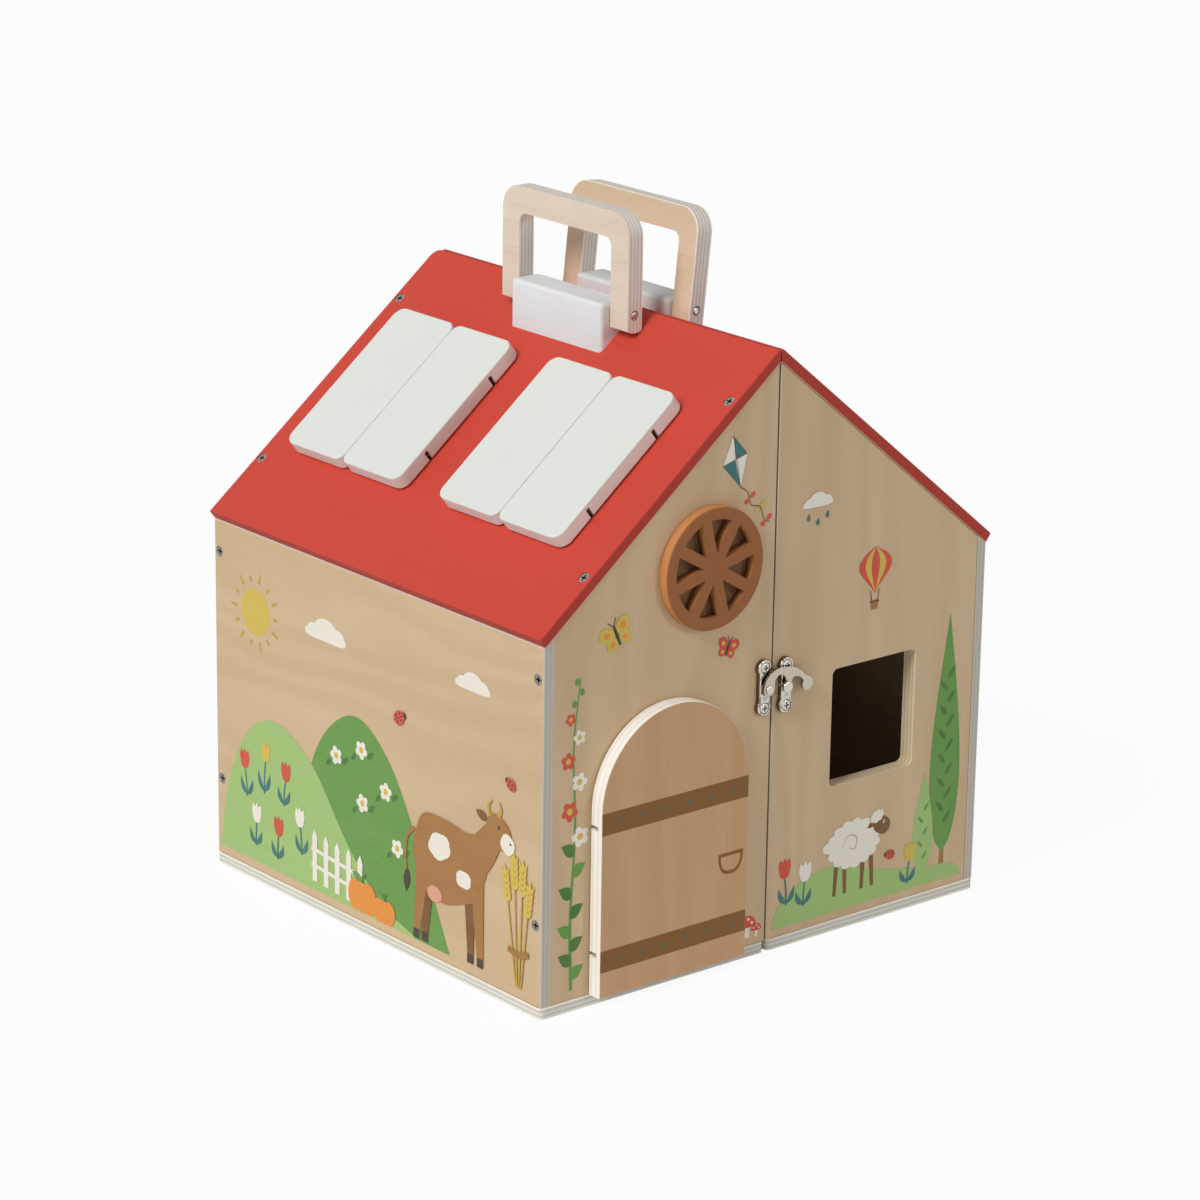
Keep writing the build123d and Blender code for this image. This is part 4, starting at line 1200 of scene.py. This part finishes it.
class LeftGablePicture(Picture):
    """Hollyhock beside the door, toadstools, a kite and butterflies on the left gable."""

    name, board, ink, body = "picture_gable_left", "gable_front_left", "gable_left_ink", "left_half"

    def draw(self, pen: Pen) -> None:
        """Draws the motifs one after another."""
        self.hollyhock(pen)
        self.toadstool(pen.at((-12.6, 10.5), 1.05))
        self.toadstool(pen.at((-6.4, 10), 0.62))
        self.kite(pen)
        self.butterfly(pen.at((-104, 193), 1.25, 24), Tone.YELLOW, Tone.ORANGE)
        self.butterfly(pen.at((-31, 172), 0.85, -18), Tone.CORAL, Tone.YELLOW)

    def hollyhock(self, pen: Pen) -> None:
        """Tall stem with round leaves low down, then open flowers and buds at the top."""
        stem = [(-130.5, 11), (-131.5, 50), (-129, 96), (-130.5, 140), (-126.5, 176)]
        pen.stroke(Tone.GREEN_DEEP, stem, [2.2, 1.8, 1.5, 1.2, 0.7], 60)
        places = smooth_path(stem, 101)
        for number, share in enumerate((4, 9, 14, 19, 25, 31, 37, 43)):
            side, tone = -1 if number % 2 else 1, Tone.GREEN_DARK if number % 3 else Tone.GREEN_DEEP
            pen.at(places[share]).leaf(tone, (0, 0), (side * 8.2, 6.5), 6.6, 0.75, side * 0.8)
        blooms = ((48, 5.6), (56, 5.4), (64, 5), (71, 4.6), (78, 4), (85, 3.4))
        for number, (share, radius) in enumerate(blooms):
            side, tone = (-1, Tone.CORAL) if number % 2 else (1, Tone.CREAM)
            self.daisy(pen, places[share] + (side * 3.4, 0), radius, tone, 17 * number)
        for share, side in ((90, -1), (94, 1), (98, -1)):
            pen.at(places[share]).blob(Tone.GREEN_DEEP, (side * 2, 0.6), (1.5, 1.9), count=20)

    def toadstool(self, pen: Pen) -> None:
        """Cream stalk under a red cap with cream spots."""
        pen.stroke(Tone.CREAM, [(0, 0), (0, 6)], [3.4, 2.4])
        top = smooth_path([(-6, 6), (-4, 10), (0, 11.6), (4, 10), (6, 6)], 24)
        pen.band(Tone.CORAL, smooth_path([(-6, 6), (0, 5.2), (6, 6)], 24), top)
        for spot in ((-2.8, 8), (0.6, 9.6), (3, 7.4)):
            pen.blob(Tone.CREAM, spot, (0.85, 0.8), count=16)

    def kite(self, pen: Pen) -> None:
        """Teal kite with crossed spars and a tail of bows."""
        ends = [(-30.5, 283), (-21, 272.5), (-25, 255.5), (-37, 268)]
        middle = np.full((6, 2), (-28.8, 270.3))
        for number, tone in enumerate((Tone.TEAL, Tone.CREAM) * 2):
            pen.band(tone, middle, np.linspace(ends[number], ends[(number + 1) % 4], 6))
        for spar in ((ends[0], ends[2]), (ends[3], ends[1])):
            pen.stroke(Tone.BROWN_DARK, spar, 0.5, 6)
        tail = [ends[2], (-20, 252), (-17.5, 245), (-11.5, 243), (-8.5, 236), (-4.8, 234)]
        pen.stroke(Tone.BROWN_DARK, tail, 0.5, 40)
        for x, z, tone in ((-18.6, 248.6, Tone.CORAL), (-11.5, 243, Tone.YELLOW), (-7.2, 235.2, Tone.CORAL)):
            pen.at((x, z)).leaf(tone, (0, 0), (3.8, 2.8), 2.6, 1.3)
            pen.at((x, z)).leaf(tone, (0, 0), (-3.4, -2.6), 2.6, 1.3)

    def butterfly(self, pen: Pen, wing: Tone, spot: Tone) -> None:
        """Four rounded wings with a spot each, about a dark body with two feelers."""
        for way in (-1, 1):
            for z, x, (wide, high), lean in ((2.6, 4.4, (4.2, 3.4), 38), (-2.6, 3.4, (3.2, 2.7), -38)):
                pen.blob(wing, (way * x, z), (wide, high), turn=way * lean, count=32)
                pen.blob(spot, (way * x, z), (0.4 * wide, 0.4 * high), turn=way * lean, count=20)
            pen.stroke(Tone.BLACK, [(0, 4.2), (2.2 * way, 7.4)], 0.4, 6)
        pen.blob(Tone.BLACK, (0, 0), (0.8, 4.8), count=24)


class RightGablePicture(Picture):
    """Sheep in a meadow, two poplars, a balloon and a rain cloud on the right gable."""

    name, board, ink, body = "picture_gable_right", "gable_front_right", "gable_right_ink", "right_half"

    def draw(self, pen: Pen) -> None:
        """Draws the motifs one after another."""
        self.poplar(pen.at((126, 13)), 148, 22, Tone.GREEN_DEEP, Tone.GREEN_DARK)
        self.poplar(pen.at((111.5, 13)), 62, 15, Tone.GREEN, Tone.GREEN_DEEP)
        meadow = [(4, 10.5), (9, 23), (26, 33), (50, 36), (80, 27), (112, 21), (134, 18), (141, 10.5)]
        pen.hill(Tone.GREEN, 10.5, meadow, 72)
        self.tulip(pen, (14, 22), 17, Tone.CORAL, -1.5)
        self.tulip(pen, (26, 19), 15, Tone.CREAM, 1)
        self.tulip(pen, (101, 14), 14, Tone.YELLOW, 1.5)
        self.sheep(pen)
        self.balloon(pen.at((70, 196)))
        self.cloud(pen, (28, 240), (11, 6.4))
        for drop in ((21.5, 229), (28, 226), (34.5, 229)):
            pen.at(drop).leaf(Tone.TEAL, (0.9, 4.4), (0, 0), 2.3, 1.5)
        self.ladybird(pen.at((88, 33.5), 0.8, 172), 172)

    def poplar(self, pen: Pen, height: float, width: float, crown: Tone, shade: Tone) -> None:
        """Slim tree: a trunk under a tall pointed crown with small shade leaves from side to side."""
        pen.stroke(Tone.BROWN, [(0, 0), (0, 0.5 * height)], [0.17 * width, 0.1 * width], 8)
        pen.leaf(crown, (0, 0.09 * height), (0, height), width, 0.62)
        for number in range(int(height // 11)):
            side, base = -1 if number % 2 else 1, 0.2 * height + 0.62 * number * 11
            pen.leaf(shade, (0, base), (side * 0.26 * width, base + 0.3 * width), 0.13 * width)

    def sheep(self, pen: Pen) -> None:
        """Cream fleece on dark legs, with a brown head turned to the right."""
        dark, fleece = Tone.BROWN_DARK, Tone.CREAM
        for x, lean in ((49, -1), (55, 0.5), (68, -0.5), (74, 1)):
            pen.stroke(dark, [(x + lean, 19), (x, 36)], [2.3, 3], 8)
        pen.blob(fleece, (61, 46), (19.5, 14), lobes=15, depth=0.11, count=120)
        pen.blob(fleece, (42.5, 47), (3.6, 3.2), lobes=6, depth=0.15)
        pen.blob(dark, (81, 52), (6.2, 5), turn=-28, power=2.3)
        pen.leaf(dark, (76.5, 55), (70.5, 52), 3.4)
        pen.blob(fleece, (77.5, 57.5), (5.2, 3.6), lobes=8, depth=0.16, turn=20)
        pen.blob(fleece, (82.6, 53.4), (0.9, 1), count=16)
        pen.blob(Tone.BLACK, (82.8, 53.3), (0.5, 0.6), count=14)
        pen.stroke(Tone.BIRCH_DARK, [(53, 45), (57, 51), (63, 49), (62, 43), (58, 44)], [0.4, 0.8, 0.4])

    def balloon(self, pen: Pen) -> None:
        """Striped hot-air balloon with its basket."""
        for share, tone in ((1, Tone.CORAL), (0.62, Tone.YELLOW), (0.26, Tone.CORAL)):
            pen.leaf(tone, (0, -14.5), (0, 11.5), 23 * share, 1.45)
        for side in (-1, 1):
            pen.stroke(Tone.BROWN_DARK, [(side * 3, -12), (side * 2, -18.5)], 0.5, 4)
        pen.stroke(Tone.BROWN, [(0, -18), (0, -22.5)], [5.4, 4.2], 6)
        pen.stroke(Tone.BROWN_DARK, [(-3.1, -18.2), (3.1, -18.2)], 1.1, 6)


# ---- Studio ----


@dataclass
class Studio:
    """Pale floor, soft lamps and the photograph's camera. A lamp is its direction, strength and spread."""

    camera_place: Vec3 = (-1.40431, -1.68290, 0.84651)
    camera_forward: Vec3 = (0.611581, 0.731964, -0.300328)
    camera_roll: float = math.radians(0.876)
    lens: float = 129.22
    sensor: float = 36.0
    clip: Point = (0.05, 60.0)
    floor_reach: float = 14.0
    floor_drop: float = 0.0002
    paper: Colour = (0.86, 0.86, 0.86, 1.0)
    paper_glow: float = 0.93
    sky: float = 0.27
    key: tuple[Vec3, float, float] = ((-0.80, -0.10, 0.66), 2.08, 28.0)
    front: tuple[Vec3, float, float] = ((0.38, -0.86, 0.34), 0.45, 12.0)
    white = (1.0, 1.0, 1.0, 1.0)

    def build(self) -> None:
        """Builds the floor, world, lamps and camera."""
        self.floor()
        self.world()
        self.lamp("key_lamp", *self.key)
        self.lamp("front_lamp", *self.front)
        self.camera()
        bpy.context.scene.view_settings.view_transform = "Standard"

    def place(self, name: str, data: Any) -> bpy.types.Object:
        """New object of some data, in the scene."""
        made = bpy.data.objects.new(name, data)
        bpy.context.scene.collection.objects.link(made)
        return made

    def floor(self) -> None:
        """Large square floor that the camera sees as near white."""
        mesh = bpy.data.meshes.new("studio_floor")
        corners = [(-1, -1, 0), (1, -1, 0), (1, 1, 0), (-1, 1, 0)]
        mesh.from_pydata((self.floor_reach * np.array(corners)).tolist(), [], [(0, 1, 2, 3)])
        plane = self.place("studio_floor", mesh)
        plane.location.z = -self.floor_drop
        made = bpy.data.materials.new("studio_floor_paper")
        made.use_nodes = True
        nodes, s = made.node_tree.nodes, Shader(made.node_tree)
        nodes.remove(nodes["Principled BSDF"])
        paper = s.node("BsdfDiffuse", {"Color": self.paper})
        glow = s.node("Emission", {"Color": self.white, "Strength": 1})
        seen = s.times(self.seen_directly(s), self.paper_glow)
        mixed = s.node("MixShader", {0: seen, 1: paper.outputs[0], 2: glow.outputs[0]})
        s.feed(nodes["Material Output"].inputs["Surface"], mixed.outputs[0])
        mesh.materials.append(made)

    def seen_directly(self, s: Shader) -> Socket:
        """1 for camera, glossy and transmission rays, and 0 for the rays that light the object."""
        path = s.node("LightPath").outputs
        first = s.maths("MAXIMUM", path["Is Camera Ray"], path["Is Glossy Ray"])
        return s.maths("MAXIMUM", first, path["Is Transmission Ray"])

    def world(self) -> None:
        """Even sky that lights at its own level and is seen as white."""
        world = bpy.context.scene.world = bpy.data.worlds.new("studio_sky")
        world.use_nodes = True
        s = Shader(world.node_tree)
        background = world.node_tree.nodes["Background"].inputs
        s.feed(background["Color"], self.white)
        s.feed(background["Strength"], s.remap(self.seen_directly(s), 0, 1, self.sky, 1))

    def lamp(self, name: str, source: Vec3, strength: float, spread: float) -> None:
        """Broad distant lamp: the direction it stands in, its strength and its apparent size in degrees."""
        data = bpy.data.lights.new(name, "SUN")
        data.energy, data.angle = strength, math.radians(spread)
        lamp = self.place(name, data)
        lamp.rotation_mode = "QUATERNION"
        lamp.rotation_quaternion = Vector(source).to_track_quat("Z", "Y")

    def camera(self) -> None:
        """Camera at the photograph's place, with its slight roll."""
        data = bpy.data.cameras.new("camera")
        data.sensor_fit, data.sensor_width = "HORIZONTAL", self.sensor
        data.lens = self.lens
        data.clip_start, data.clip_end = self.clip
        forward = Vector(self.camera_forward).normalized()
        level = forward.cross(Vector(UP)).normalized()
        right = math.cos(self.camera_roll) * level + math.sin(self.camera_roll) * level.cross(forward)
        turn = Matrix((right, right.cross(forward), -forward)).transposed()
        camera = bpy.context.scene.camera = self.place("camera", data)
        camera.matrix_world = Matrix.Translation(self.camera_place) @ turn.to_4x4()


def main() -> None:
    """Loads the frame, dresses it piece by piece and sets the studio up."""
    logging.basicConfig(level=logging.INFO, format="%(name)s %(message)s")
    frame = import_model()
    for part in (Shell, Roof, Handles, Front, Hardware, WallPicture, LeftGablePicture, RightGablePicture):
        part(frame).build()
    Studio().build()


if __name__ == "__main__":
    main()
